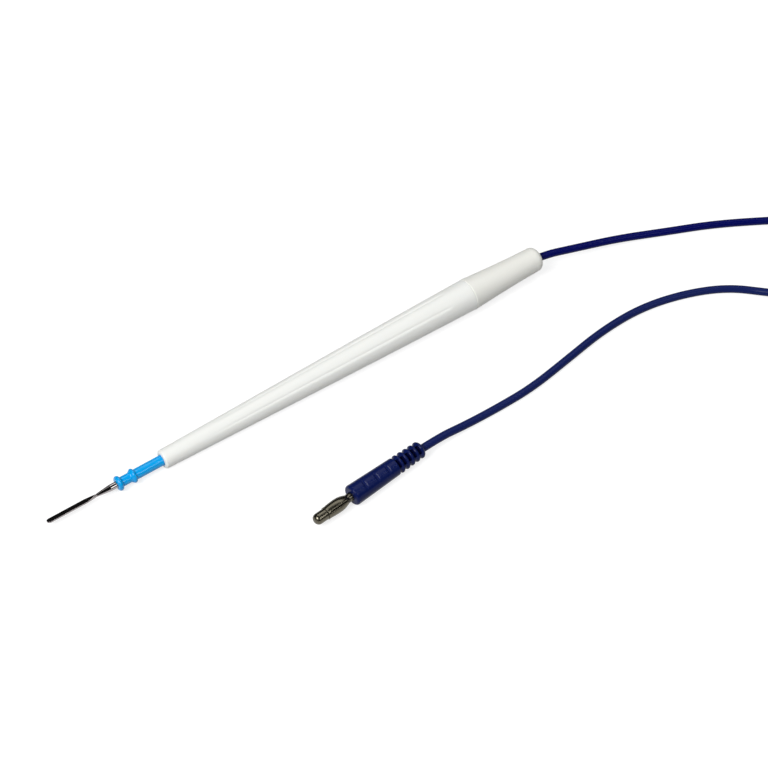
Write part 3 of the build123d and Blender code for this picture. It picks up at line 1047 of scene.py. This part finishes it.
@dataclass(frozen=True)
class Electrode:
    """The steel electrode, pressed flat into a blade, and its moulded hub.

    Sizes are in millimetres and angles in degrees. Stations start at the barrel's front rim, so
    what stands out of the barrel has negative ones.
    """

    hub_shown: float = 17.7
    hub_insert: float = 5.0
    hub_bore: float = 1.21
    sleeve_radius: float = 1.9
    neck_radius: float = 1.77
    ring_radius: float = 2.7
    ring_round: float = 0.9
    ring_foot: float = 0.35
    second_ring_radius: float = 2.625
    ring_spacing: float = 5.45
    ring_flare: float = 1.4
    shank_radius: float = 1.18
    shank_front: float = -20.2
    shank_end: float = 25.6
    pin_neck: float = -25.4
    pin_neck_radius: float = 0.56
    blade_root_half: float = 0.448
    blade_tip: float = -44.4
    blade_half_width: float = 1.2
    blade_half_thickness: float = 0.25
    blade_flare: float = 4.8
    blade_press: float = 4.0
    blade_roll: float = -19.0
    blade_squareness: float = 16.0
    end_chamfer: float = 0.4
    # Small rounds of the hub
    bore_round: float = 0.1
    insert_round: float = 0.3
    crest_gap: float = 0.02
    crest_foot: float = 0.06
    # Spacing of rows and columns
    row_gap: float = 0.5
    fine_gap: float = 0.1
    shank_rows: tuple[float, ...] = (-19.2, 0.0, 12.0)
    hub_columns: int = 128
    pin_columns: int = 112

    def hub(self) -> bpy.types.Object:
        """Make the hub: a sleeve with a rounded ring at its front and a flared one behind its neck.

        Returns:
            The hub.
        """
        front = -self.hub_shown
        ring = front + self.ring_round
        crest = ring + self.ring_spacing
        foot = self.ring_radius - self.ring_round
        crest_round = self.second_ring_radius - self.sleeve_radius
        flare_start = crest - self.ring_flare
        flare = np.linspace(flare_start, crest, 16)
        flared = eased(
            ((flare_start, self.neck_radius), (crest, self.second_ring_radius)), (0.0, 0.0), flare
        )
        outline = rounded([
            (front, self.hub_bore, self.bore_round),
            *as_corners(*arc((ring, foot), self.ring_round, 180, 0, 20).T),
            (ring + self.ring_round, self.neck_radius, self.ring_foot),
            *as_corners(flare, flared),
            *as_corners(*arc((crest, self.sleeve_radius), crest_round, 80, 8, 10).T),
            (crest + crest_round + self.crest_gap, self.sleeve_radius, self.crest_foot),
            (self.hub_insert, self.sleeve_radius, self.insert_round),
            (self.hub_insert, self.hub_bore, self.bore_round),
        ])
        points = PENCIL.turned(outline[:, :1], outline[:, 1:], rolls(self.hub_columns)[None])
        return lathe_piece("hub", points, closed=True)

    def pin(self) -> bpy.types.Object:
        """Make the electrode from sections that change along it: half width, half thickness, squareness.

        A section of squareness n joins the points where |across / width| to the power n and
        |through / thickness| to the power n add up to one: a circle at 2, a slab with small rounds
        at 16. The tip is rounded in plan and at its edge, as the root of 1 less the square of what
        is left to its full width or thickness.

        Returns:
            The electrode.
        """
        tip, neck, front, end = self.blade_tip, self.pin_neck, self.shank_front, self.shank_end
        bend = np.linspace(0.0, np.pi / 2, 14)
        tip_rows = tip + self.blade_half_width * (1.0 - np.cos(bend))
        flare_start, chamfer = neck - self.blade_flare, self.end_chamfer
        station = np.concatenate([
            tip_rows,
            np.linspace(tip_rows[-1] + self.row_gap, flare_start, 20),
            np.linspace(flare_start + self.row_gap / 2, front - self.fine_gap, 46),
            [front, front + self.fine_gap, *self.shank_rows],
            [end - 1.5 * chamfer, end - chamfer, end - chamfer / 2, end, end],
        ])
        flare = smoothstep((neck - station) / self.blade_flare)
        taper = np.clip((station - neck) / (front - neck), 0.0, 1.0)
        round_half = self.pin_neck_radius + (self.shank_radius - self.pin_neck_radius) * taper
        width = np.where(
            station < neck,
            self.blade_root_half + (self.blade_half_width - self.blade_root_half) * flare,
            round_half,
        )
        press = smoothstep((neck - station) / self.blade_press)
        thickness = np.where(
            station < neck,
            self.pin_neck_radius + (self.blade_half_thickness - self.pin_neck_radius) * press,
            round_half,
        )
        into_tip = np.clip((station - tip) / self.blade_half_width, 0.0, 1.0)
        width = width * np.sqrt(1.0 - (1.0 - into_tip) ** 2)
        edge = np.clip((station - tip) / self.blade_half_thickness, 0.0, 1.0)
        thickness = thickness * np.sqrt(1.0 - (1.0 - edge) ** 2)
        widest = np.clip((end - station) / chamfer, 0.0, 1.0) * chamfer + self.shank_radius - chamfer
        width, thickness = np.minimum(width, widest), np.minimum(thickness, widest)
        width[-1] = thickness[-1] = 0.0
        circle = 2.0
        square = circle + (self.blade_squareness - circle) * press
        angle = rolls(self.pin_columns)[None]
        power = (2.0 / square)[:, None]
        across = width[:, None] * np.sign(np.cos(angle)) * np.abs(np.cos(angle)) ** power
        through = thickness[:, None] * np.sign(np.sin(angle)) * np.abs(np.sin(angle)) ** power
        lean = math.radians(self.blade_roll)
        upward = through * math.cos(lean) - across * math.sin(lean)
        sideways = through * math.sin(lean) + across * math.cos(lean)
        return lathe_piece("electrode", PENCIL.place(station[:, None], upward, sideways), closed=False)

    def build(self) -> None:
        """Make and dress the electrode and its hub."""
        pin, hub = self.pin(), self.hub()
        Finish.BLADE_STEEL.dress(pin, PENCIL)
        Finish.HUB_BLUE.dress(hub, PENCIL)
        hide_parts("electrode_pin")
        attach(pin, "electrode")
        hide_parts("electrode_hub")
        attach(hub, "hub")


# The plug

# Keeps the height over a cosine finite where a roll lies square to the scallops
LEAST_COSINE = 1e-3


@dataclass(frozen=True)
class BananaPlug:
    """The plug: a solid pin, a cage of four bowed leaves round it, and a moulded grip.

    Sizes are in millimetres and angles in degrees. Stations start at the tip of the pin.
    """

    pin_length: float = 15.95
    head_length: float = 4.8
    head_radius: float = 2.0
    head_round: float = 1.7
    seat_radius: float = 1.75
    seat_length: float = 1.1
    core_radius: float = 1.25
    collar_radius: float = 1.55
    collar_length: float = 1.4
    anchor_front: float = 16.75
    anchor_rear: float = 21.75
    anchor_radius: float = 2.0
    pin_end: float = 27.25
    pin_end_radius: float = 1.6
    cup_radius: float = 0.6
    cup_depth: float = 5.0
    cage_end_gap: float = 0.1
    cage_front_inner: float = 1.78
    cage_front_outer: float = 2.24
    cage_rear_inner: float = 1.28
    cage_sheet: float = 0.25
    cage_front_collar: float = 0.9
    cage_rear_collar: float = 0.4
    belly_station: float = 10.0
    belly_radius: float = 2.45
    front_slope: float = 0.16
    front_outer_slope: float = 0.08
    rear_slope: float = -0.45
    slot_width: float = 0.6
    slot_margin: float = 1.0
    grip_radius: float = 3.75
    grip_rear: float = 35.05
    grip_rear_radius: float = 3.25
    grip_round: float = 0.9
    rib_count: int = 5
    rib_pitch: float = 2.25
    first_rib: float = 36.8
    rib_radius: float = 3.3
    last_rib_radius: float = 3.07
    valley_radius: float = 2.63
    crest: float = 0.4
    rear_end: float = 0.85
    window_roll: float = 30.0
    window_length: float = 1.15
    window_half_width: float = 1.5
    window_skin: float = 0.03
    window_edge: float = 0.08
    scallop_roll: float = 20.0
    scallop_radius: float = 1.0
    scallop_depth: float = 0.42
    first_scallop: float = 21.15
    scallop_pitch: float = 5.05
    scallop_count: int = 3
    wire_bore: float = 0.58
    cable_bore: float = 1.455
    cable_front: float = 29.75
    seat_gap: float = 0.03
    # Small rounds
    head_rear_round: float = 0.15
    fine_round: float = 0.05
    edge_round: float = 0.1
    valley_round: float = 0.15
    rib_round: float = 0.18
    rear_round: float = 0.25
    # Spacing of rows and columns
    leaf_count: int = 4
    leaf_columns: int = 15
    pin_columns: int = 112
    grip_columns: int = 152
    outer_spacing: float = 0.1
    rim_gap: float = 0.05
    bow_gaps: tuple[float, float] = (0.3, 0.02)
    slot_gaps: tuple[float, float] = (0.15, 0.1)
    weld_reach: float = 0.004

    def pin(self) -> bpy.types.Object:
        """Make the pin: domed head, seat and waist for the cage, collar, anchor and solder cup.

        Returns:
            The pin.
        """
        dome, fine, edge = self.head_round, self.fine_round, self.edge_round
        seat_end = self.head_length + self.seat_length
        waist_end = self.pin_length - self.collar_length
        outline = rounded([
            (0.0, 0.0, 0.0),
            *as_corners(*arc((dome, self.head_radius - dome), dome, 180, 90, 20).T),
            (self.head_length, self.head_radius, self.head_rear_round),
            (self.head_length, self.seat_radius, fine),
            (seat_end, self.seat_radius, fine),
            (seat_end, self.core_radius, fine),
            (waist_end, self.core_radius, fine),
            (waist_end, self.collar_radius, edge),
            (self.anchor_front, self.collar_radius, fine),
            (self.anchor_front, self.anchor_radius, edge),
            (self.anchor_rear, self.anchor_radius, edge),
            (self.anchor_rear, self.pin_end_radius, fine),
            (self.pin_end, self.pin_end_radius, edge),
            (self.pin_end, self.cup_radius, fine),
            (self.pin_end - self.cup_depth, self.cup_radius, fine),
            (self.pin_end - self.cup_depth, 0.0, 0.0),
        ], closed=False)
        points = PLUG.turned(outline[:, :1], outline[:, 1:], rolls(self.pin_columns)[None])
        return lathe_piece("plug_pin_turned", points, closed=False)

    def cage_rows(self) -> tuple[np.ndarray, np.ndarray, np.ndarray, np.ndarray]:
        """Work out the cage's rows.

        Each radius follows one cubic from each collar to the belly; the front collar is the thicker.
        A slot's ends are half circles: half its width there is the root of the end's radius squared
        less the rest squared.

        Returns:
            The rows' stations, and the inner radius, outer radius and half the slots' width at each.
        """
        front = self.head_length + self.cage_end_gap
        rear = self.pin_length - self.collar_length - self.cage_end_gap
        slot_start, slot_end = front + self.slot_margin, rear - self.slot_margin
        half = self.slot_width / 2
        ease = half * (1.0 - np.cos(np.linspace(0.0, np.pi / 2, 7)))
        bow_start, bow_end = front + self.cage_front_collar, rear - self.cage_rear_collar
        inside_gap, outside_gap = self.slot_gaps
        station = np.concatenate([
            [front, front + self.rim_gap, *(bow_start - gap for gap in self.bow_gaps)],
            slot_start + ease,
            np.linspace(slot_start + half + inside_gap, slot_end - half - inside_gap, 40),
            (slot_end - ease)[::-1],
            np.linspace(slot_end + outside_gap, bow_end, 5),
            [rear - self.rim_gap, rear],
        ])
        from_end = np.clip(np.minimum(station - slot_start, slot_end - station), 0.0, half)
        opening = np.sqrt(np.maximum(half**2 - (half - from_end) ** 2, 0.0))
        along = np.clip(station, bow_start, bow_end)
        inner_bow = (
            (bow_start, self.cage_front_inner),
            (self.belly_station, self.belly_radius - self.cage_sheet),
            (bow_end, self.cage_rear_inner),
        )
        outer_bow = (
            (bow_start, self.cage_front_outer),
            (self.belly_station, self.belly_radius),
            (bow_end, self.cage_rear_inner + self.cage_sheet),
        )
        inner = eased(inner_bow, (self.front_slope, 0.0, self.rear_slope), along)
        outer = eased(outer_bow, (self.front_outer_slope, 0.0, self.rear_slope), along)
        return station, inner, outer, opening

    def cage(self) -> bpy.types.Object:
        """Make the cage: four leaves, each a bent strip with a thickness, joined at both collars.

        A leaf reaches round to the edge of its slots: its half angle is 45 degrees less the slot's
        half width over the radius. Its grid is one closed band round the strip, out over its outer
        face and back over its inner face, and the rows at its two ends are closed across. Where
        there is no slot beside a leaf its edges have no faces, and it is welded to the next.

        Returns:
            The cage.
        """
        station, inner, outer, opening = self.cage_rows()
        share = np.linspace(-1.0, 1.0, self.leaf_columns)
        around = np.concatenate([share, share[::-1]])
        radius = np.where(np.arange(around.size) < share.size, outer[:, None], inner[:, None])
        reach = np.pi / self.leaf_count - opening[:, None] / radius
        rows, columns = len(station), around.size
        vertices: list[np.ndarray] = []
        faces: list[tuple[int, ...]] = []
        for leaf in range(self.leaf_count):
            roll = 2 * np.pi / self.leaf_count * leaf + reach * around
            base = leaf * rows * columns
            vertices.append(PLUG.turned(station[:, None], radius, roll).reshape(-1, 3))
            band = np.array(lathe_faces(rows, columns, closed=False)).reshape(rows - 1, columns, 4)
            slit = (opening[:-1] > 0) | (opening[1:] > 0)
            sheet = np.ones(columns, bool)
            sheet[[share.size - 1, columns - 1]] = False
            kept = band[sheet[None] | slit[:, None]]
            across = np.arange(share.size - 1)
            end = np.stack([across, across + 1, columns - 2 - across, columns - 1 - across], axis=1)
            ends = np.concatenate([end[:, ::-1], end + (rows - 1) * columns])
            faces += [tuple(face) for face in (np.concatenate([kept, ends]) + base).tolist()]
        cage = new_piece("spring_cage", np.concatenate(vertices), faces)
        weld = cage.modifiers.new("weld", "WELD")
        weld.merge_threshold = self.weld_reach * MM
        return cage

    def ribs(self) -> np.ndarray:
        """Return the stations of the ribs' middles."""
        return self.first_rib + self.rib_pitch * np.arange(self.rib_count)

    def outer_outline(self) -> np.ndarray:
        """Draw the grip's outer side: a rounded front, a straight taper, ribs and valleys, and the rear.

        Returns:
            Its points, one to a row, from the pin's collar round to the cable.
        """
        half = self.crest / 2
        radii = np.linspace(self.rib_radius, self.last_rib_radius, self.rib_count)
        waves: list[Point] = []
        for station, radius in zip(self.ribs(), radii):
            valley = station - self.rib_pitch / 2
            waves += [
                (valley - half, self.valley_radius, self.valley_round),
                (valley + half, self.valley_radius, self.valley_round),
                (station - half, radius, self.rib_round),
                (station + half, radius, self.rib_round),
            ]
        rear = self.ribs()[-1] + self.rear_end
        corners = [
            (self.pin_length, self.collar_radius + self.seat_gap, 0.0),
            (self.pin_length, self.grip_radius, self.grip_round),
            (self.grip_rear, self.grip_rear_radius, self.rib_round),
            *waves,
            (rear, self.valley_radius, self.rear_round),
            (rear, self.cable_bore, 0.0),
        ]
        return refined(rounded(corners, closed=False), self.outer_spacing)

    def inner_outline(self) -> np.ndarray:
        """Draw the grip's inner side, which leaves the seat's gap round the pin.

        Returns:
            Its points, one to a row, from the cable's end forward to the pin's collar.
        """
        gap = self.seat_gap
        return np.array([
            (self.cable_front, self.cable_bore),
            (self.cable_front, self.wire_bore),
            (self.pin_end, self.wire_bore),
            (self.pin_end, self.pin_end_radius + gap),
            (self.anchor_rear, self.pin_end_radius + gap),
            (self.anchor_rear, self.anchor_radius + gap),
            (self.anchor_front, self.anchor_radius + gap),
            (self.anchor_front, self.collar_radius + gap),
        ])

    def scalloped(self, station: np.ndarray, radius: np.ndarray, roll: np.ndarray) -> np.ndarray:
        """Cut the scallops on two sides of the grip.

        A scallop is a cylinder laid across the grip: the height left at a station is its axis's
        height less the root of its radius squared less the square of the distance along. A point's
        distance from the plug's axis is at most that height over the cosine of its roll.

        Args:
            station: the outer side's stations, in one column.
            radius: its radius at each.
            roll: the rolls, in one row.

        Returns:
            The distance from the axis on the grid of station by roll.
        """
        height = np.repeat(radius, roll.size, axis=1)
        cosine = np.maximum(np.abs(np.cos(roll - math.radians(self.scallop_roll))), LEAST_COSINE)
        for number in range(self.scallop_count):
            middle = self.first_scallop + self.scallop_pitch * number
            share = (middle - self.pin_length) / (self.grip_rear - self.pin_length)
            surface = self.grip_radius + (self.grip_rear_radius - self.grip_radius) * share
            axis = surface + self.scallop_radius - self.scallop_depth
            chord = np.sqrt(np.maximum(self.scallop_radius**2 - (station - middle) ** 2, 0.0))
            left = np.where(chord > 0, axis - chord, np.inf)
            height = np.minimum(height, left / cosine)
        return height

    def windowed(
        self, station: np.ndarray, height: np.ndarray, tilt: np.ndarray
    ) -> tuple[np.ndarray, np.ndarray, np.ndarray]:
        """Sink the windows between the ribs.

        Inside a window a point sinks straight down to just over the cable: its new height is the
        root of the floor's radius squared less its distance sideways squared. The share of a point
        that is inside eases from 0 to 1 across each edge.

        Args:
            station: the outer side's stations, in one column.
            height: the distance from the axis on the grid of station by roll.
            tilt: the rolls less the windows' own, in one row.

        Returns:
            The new distance from the axis, the new tilt, and the share that is inside a window.
        """
        sideways, upward = height * np.sin(tilt), height * np.cos(tilt)
        valleys = self.ribs() - self.rib_pitch / 2
        from_valley = np.abs(station[..., None] - valleys).min(axis=-1)
        inside = smoothstep((self.window_length / 2 - from_valley) / self.window_edge + 0.5)
        inside = inside * smoothstep((self.window_half_width - np.abs(sideways)) / self.window_edge + 0.5)
        floor = np.sqrt(np.maximum((self.cable_bore + self.window_skin) ** 2 - sideways**2, 0.0))
        upward = upward + (np.sign(upward) * floor - upward) * inside
        return np.hypot(sideways, upward), np.arctan2(sideways, upward), inside

    def grip(self) -> bpy.types.Object:
        """Make and dress the grip and its strain relief: an outline turned round the axis, then cut.

        Returns:
            The grip, with a darker finish of painted shade in its windows.
        """
        outer, inner = self.outer_outline(), self.inner_outline()
        station, radius = outer[:, :1], outer[:, 1:]
        roll = rolls(self.grip_columns)[None]
        window = math.radians(self.window_roll)
        height = self.scalloped(station, radius, roll)
        distance, tilt, inside = self.windowed(station, height, roll - window)
        inner_distance, inner_tilt = np.broadcast_arrays(inner[:, 1:], roll - window)
        points = PLUG.turned(
            np.vstack([station, inner[:, :1]]),
            np.vstack([distance, inner_distance]),
            np.vstack([tilt, inner_tilt]) + window,
        )
        grip = lathe_piece("plug_grip", points, closed=True)
        Finish.PLUG_BLUE.dress(grip, PLUG)
        # The windows' floors get the darker navy of painted shade
        painted_shade_faces = np.vstack([inside, np.zeros(inner_distance.shape)]) > 0.5
        Finish.WINDOW_PAINTED_SHADE.dress_more(grip, PLUG, painted_shade_faces)
        return grip

    def build(self) -> list[bpy.types.Object]:
        """Make and dress the plug's pieces.

        Returns:
            The pieces that lie on the cable.
        """
        pin, cage, grip = self.pin(), self.cage(), self.grip()
        Finish.PIN_NICKEL.dress(pin, PLUG)
        Finish.SPRING_NICKEL.dress(cage, PLUG)
        for piece, node, carrier in (
            (pin, "plug_pin", "handle"),
            (cage, "plug_spring_cage", "spring_cage"),
            (grip, "plug_body", "handle"),
        ):
            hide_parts(node)
            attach(piece, carrier)
        return [pin, cage, grip, frame["nodes"]["rear_conductor"]]


# The cable


@dataclass(frozen=True)
class Cable:
    """The cable from the cap to the plug, with its put-away length in a round coil. In millimetres.

    From the coil's first turn, on the table, it winds clockwise seen from above: inwards, up a layer
    near the middle, outwards, up a layer near the rim, and so on.
    """

    diameter: float = 2.85
    length: float = 3000.0
    exit: Point = (101.178, 0.0, 6.7238)
    lead: tuple[Point, ...] = (
        (93.1795, 0.0, 6.5558),
        (102.178, 0.0, 6.745),
        (116.0, -2.5, 4.5),
        (133.2, -6.2, 2.4),
        (149.6, -12.5, 1.45),
        (166.4, -19.6, 1.43),
        (183.6, -29.3, 1.43),
        (199.1, -39.0, 1.43),
        (212.2, -48.0, 1.43),
    )
    tail: tuple[Point, ...] = (
        (166.8, -74.7, 10.125),
        (164.2, -65.8, 5.6),
        (160.6, -56.8, 1.55),
        (150.5, -46.8, 1.43),
        (135.9, -40.3, 1.43),
        (119.0, -36.8, 1.43),
        (101.0, -37.6, 1.43),
        (83.0, -41.1, 1.43),
        (65.0, -44.4, 1.43),
        (50.0, -44.9, 1.43),
        (37.0, -45.0, 1.75),
        (22.742, -45.414, 3.75),
        (-0.024, -47.887, 3.75),
    )
    coil_centre: tuple[float, float] = (193.7, -68.5)
    outer_radius: float = 27.6
    inner_radius: float = 13.1
    pitch: float = 2.9
    layers: int = 4
    first_angle: float = 48.0
    last_angle: float = 193.0
    whole_turns: int = 22
    points_per_turn: int = 16
    climb: float = 0.3
    # Pieces of the round section's quarter, and of the line between two points
    round_steps: int = 6
    line_steps: int = 8

    def coil(self) -> np.ndarray:
        """Wind the coil: the radius sweeps between rim and middle, and each layer climbs one pitch.

        Returns:
            The points of the line inside the coil, one to a row, in millimetres.
        """
        turns = self.whole_turns - (self.last_angle - self.first_angle) / 360.0
        turn = np.linspace(0.0, turns, round(turns * self.points_per_turn) + 1)[1:-1]
        per_layer = turns / self.layers
        layer = np.minimum(np.floor(turn / per_layer), self.layers - 1)
        into = turn - layer * per_layer
        share = np.clip(into / (per_layer - self.climb), 0.0, 1.0)
        inward = np.where(layer % 2 == 0, share, 1.0 - share)
        radius = self.outer_radius - (self.outer_radius - self.inner_radius) * inward
        rise = smoothstep((into - per_layer + self.climb) / self.climb)
        rise = np.where(layer < self.layers - 1, rise, 0.0)
        height = self.diameter / 2 + self.pitch * (layer + rise)
        angle = np.radians(self.first_angle - 360.0 * turn)
        across = self.coil_centre[0] + radius * np.cos(angle)
        away = self.coil_centre[1] + radius * np.sin(angle)
        return np.stack([across, away, height], axis=1)

    def build(self, on_it: list[bpy.types.Object]) -> None:
        """Make the cable on one smooth line through its points.

        Args:
            on_it: the plug's pieces, which go with the cable; not used.
        """
        route = np.concatenate([np.array(self.lead), self.coil(), np.array(self.tail)]) * MM
        curve = bpy.data.curves.new("cable", "CURVE")
        curve.dimensions = "3D"
        curve.bevel_depth = self.diameter / 2 * MM
        curve.bevel_resolution = self.round_steps
        curve.resolution_u = self.line_steps
        curve.use_fill_caps = True
        spline = curve.splines.new("NURBS")
        spline.points.add(len(route) - 1)
        spline.points.foreach_set("co", np.column_stack([route, np.ones(len(route))]).ravel())
        spline.order_u = 3
        spline.use_endpoint_u = True
        cable = bpy.data.objects.new("cable", curve)
        bpy.context.scene.collection.objects.link(cable)
        Finish.CABLE_BLUE.dress(cable, PENCIL)
        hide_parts("cord_lead", "cord_coil", "cord_tail")
        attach(cable, "handle")
        LOG.info("cable: %d points", len(route))


# Parts inside the handle and the plug


def dress_inner_parts() -> None:
    """Give the parts that the housings hide their own finishes."""
    inner = {
        "contact_socket": (Finish.SOCKET_BRASS, PENCIL),
        "collet_ring": (Finish.RING_STEEL, PENCIL),
        "socket_carrier": (Finish.CARRIER_PLASTIC, PENCIL),
        "front_conductor": (Finish.COPPER_STRAND, PENCIL),
        "inner_cable": (Finish.CABLE_BLUE, PENCIL),
        "cord_clamp": (Finish.CLAMP_BRASS, PENCIL),
        "rear_conductor": (Finish.COPPER_STRAND, PLUG),
    }
    for node, (finish, spindle) in inner.items():
        finish.dress(frame["nodes"][node], spindle)
        LOG.info("%s: dressed as %s", node, finish.value.name)


# The studio


@dataclass(frozen=True)
class Lamp:
    """A soft rectangular lamp that faces the object. Places and sizes are in metres."""

    name: str
    place: Point
    size: tuple[float, float]
    power: float
    colour: Colour = (1.0, 1.0, 1.0)

    def build(self, target: Point) -> None:
        """Hang the lamp and turn it to its target.

        It hangs face down, is tipped by the angle between straight down and the way to the target,
        and is then turned round to that way.

        Args:
            target: the place that it faces, in metres.
        """
        light = bpy.data.lights.new(self.name, "AREA")
        light.shape = "RECTANGLE"
        light.size, light.size_y = self.size
        light.energy = self.power
        light.color = self.colour
        lamp = bpy.data.objects.new(self.name, light)
        bpy.context.scene.collection.objects.link(lamp)
        lamp.location = self.place
        towards = np.array(target) - np.array(self.place)
        lamp.rotation_euler = (
            math.acos(-towards[2] / np.linalg.norm(towards)),
            0.0,
            math.atan2(towards[1], towards[0]) - math.pi / 2,
        )


@dataclass(frozen=True)
class Studio:
    """A pale table top, soft lamps, and the camera at the photograph's angle.

    Places are in metres and angles in degrees. The lens and the sensor are in millimetres.
    """

    camera_place: Point = (-0.3118, -0.4930, 0.6789)
    camera_elevation: float = 49.167
    camera_heading: float = 35.060
    lens: float = 121.875
    sensor: float = 36.0
    nearest_seen: float = 0.01
    target: Point = (0.02, -0.03, 0.0)
    room_light: float = 0.015
    floor_half: float = 9.0
    floor_shade: float = 0.4
    floor_glow: float = 0.75
    floor_bounce: float = 0.36
    lamps: tuple[Lamp, ...] = (
        Lamp("overhead", (-0.95, -0.24, 1.1), (0.8, 0.65), 19.0),
        Lamp("far_side", (0.38, 0.28, 0.85), (1.1, 0.4), 2.9),
        Lamp("left", (-0.9, -0.25, 0.45), (0.5, 0.4), 0.3, (0.94, 0.98, 1.0)),
        Lamp("near", (0.3, -0.85, 0.75), (0.5, 0.3), 2.5),
        Lamp("spark", (0.60, -0.42, 0.9), (0.05, 0.05), 0.3),
    )

    def camera(self) -> None:
        """Set up the camera."""
        data = bpy.data.cameras.new("camera")
        data.lens, data.sensor_width = self.lens, self.sensor
        data.clip_start = self.nearest_seen
        camera = bpy.data.objects.new("camera", data)
        bpy.context.scene.collection.objects.link(camera)
        camera.location = self.camera_place
        camera.rotation_euler = (
            math.radians(90.0 - self.camera_elevation),
            0.0,
            math.radians(-self.camera_heading),
        )
        bpy.context.scene.camera = camera

    def floor(self) -> None:
        """Lay the table top: plain and pale, and white to the camera and in gloss where no shadow falls.

        Rays from the camera, from gloss and through clear pieces meet a plain shade plus a glow,
        which add up to white in full light and leave the shadows. All other rays meet a plain shade.
        """
        reach = self.floor_half
        corners = [(-reach, -reach, 0.0), (reach, -reach, 0.0), (reach, reach, 0.0), (-reach, reach, 0.0)]
        mesh = bpy.data.meshes.new("table_top")
        mesh.from_pydata(corners, [], [(0, 1, 2, 3)])
        floor = bpy.data.objects.new("table_top", mesh)
        bpy.context.scene.collection.objects.link(floor)
        shader = Shader("table_white")
        tree, surface = shader.tree, shader.surface
        tree.nodes.remove(surface)
        output = next(node for node in tree.nodes if node.type == "OUTPUT_MATERIAL")
        path = shader.node("ShaderNodeLightPath")
        seen = shader.node("ShaderNodeMath", operation="MAXIMUM")
        direct = shader.node("ShaderNodeMath", operation="MAXIMUM")
        shader.join(path.outputs["Is Camera Ray"], seen.inputs[0])
        shader.join(path.outputs["Is Glossy Ray"], seen.inputs[1])
        shader.join(seen.outputs[0], direct.inputs[0])
        shader.join(path.outputs["Is Transmission Ray"], direct.inputs[1])
        hidden = shader.fix(shader.node("ShaderNodeBsdfDiffuse"), Color=(*[self.floor_bounce] * 3, 1.0))
        shown = shader.fix(shader.node("ShaderNodeBsdfDiffuse"), Color=(*[self.floor_shade] * 3, 1.0))
        glow = shader.fix(shader.node("ShaderNodeEmission"), Strength=self.floor_glow)
        both = shader.node("ShaderNodeAddShader")
        mix = shader.node("ShaderNodeMixShader")
        shader.join(shown.outputs[0], both.inputs[0])
        shader.join(glow.outputs[0], both.inputs[1])
        shader.join(direct.outputs[0], mix.inputs[0])
        shader.join(hidden.outputs[0], mix.inputs[1])
        shader.join(both.outputs[0], mix.inputs[2])
        shader.join(mix.outputs[0], output.inputs["Surface"])
        mesh.materials.append(shader.material)

    def world(self) -> None:
        """Surround the table with a dim, even room."""
        world = bpy.data.worlds.new("studio")
        world.use_nodes = True
        bpy.context.scene.world = world
        background = next(node for node in world.node_tree.nodes if node.type == "BACKGROUND")
        background.inputs["Color"].default_value = (1.0, 1.0, 1.0, 1.0)
        background.inputs["Strength"].default_value = self.room_light

    def build(self) -> None:
        """Set the stage and the look of the picture."""
        self.camera()
        self.floor()
        self.world()
        for lamp in self.lamps:
            lamp.build(self.target)
        bpy.context.scene.view_settings.view_transform = "Standard"


def main() -> None:
    """Build the pencil, its cable and its plug, then the studio round them."""
    logging.basicConfig(level=logging.INFO, format="%(name)s: %(message)s")
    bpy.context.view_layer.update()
    Handle().build()
    Electrode().build()
    Cable().build(BananaPlug().build())
    dress_inner_parts()
    Studio().build()


if __name__ == "__main__":
    main()
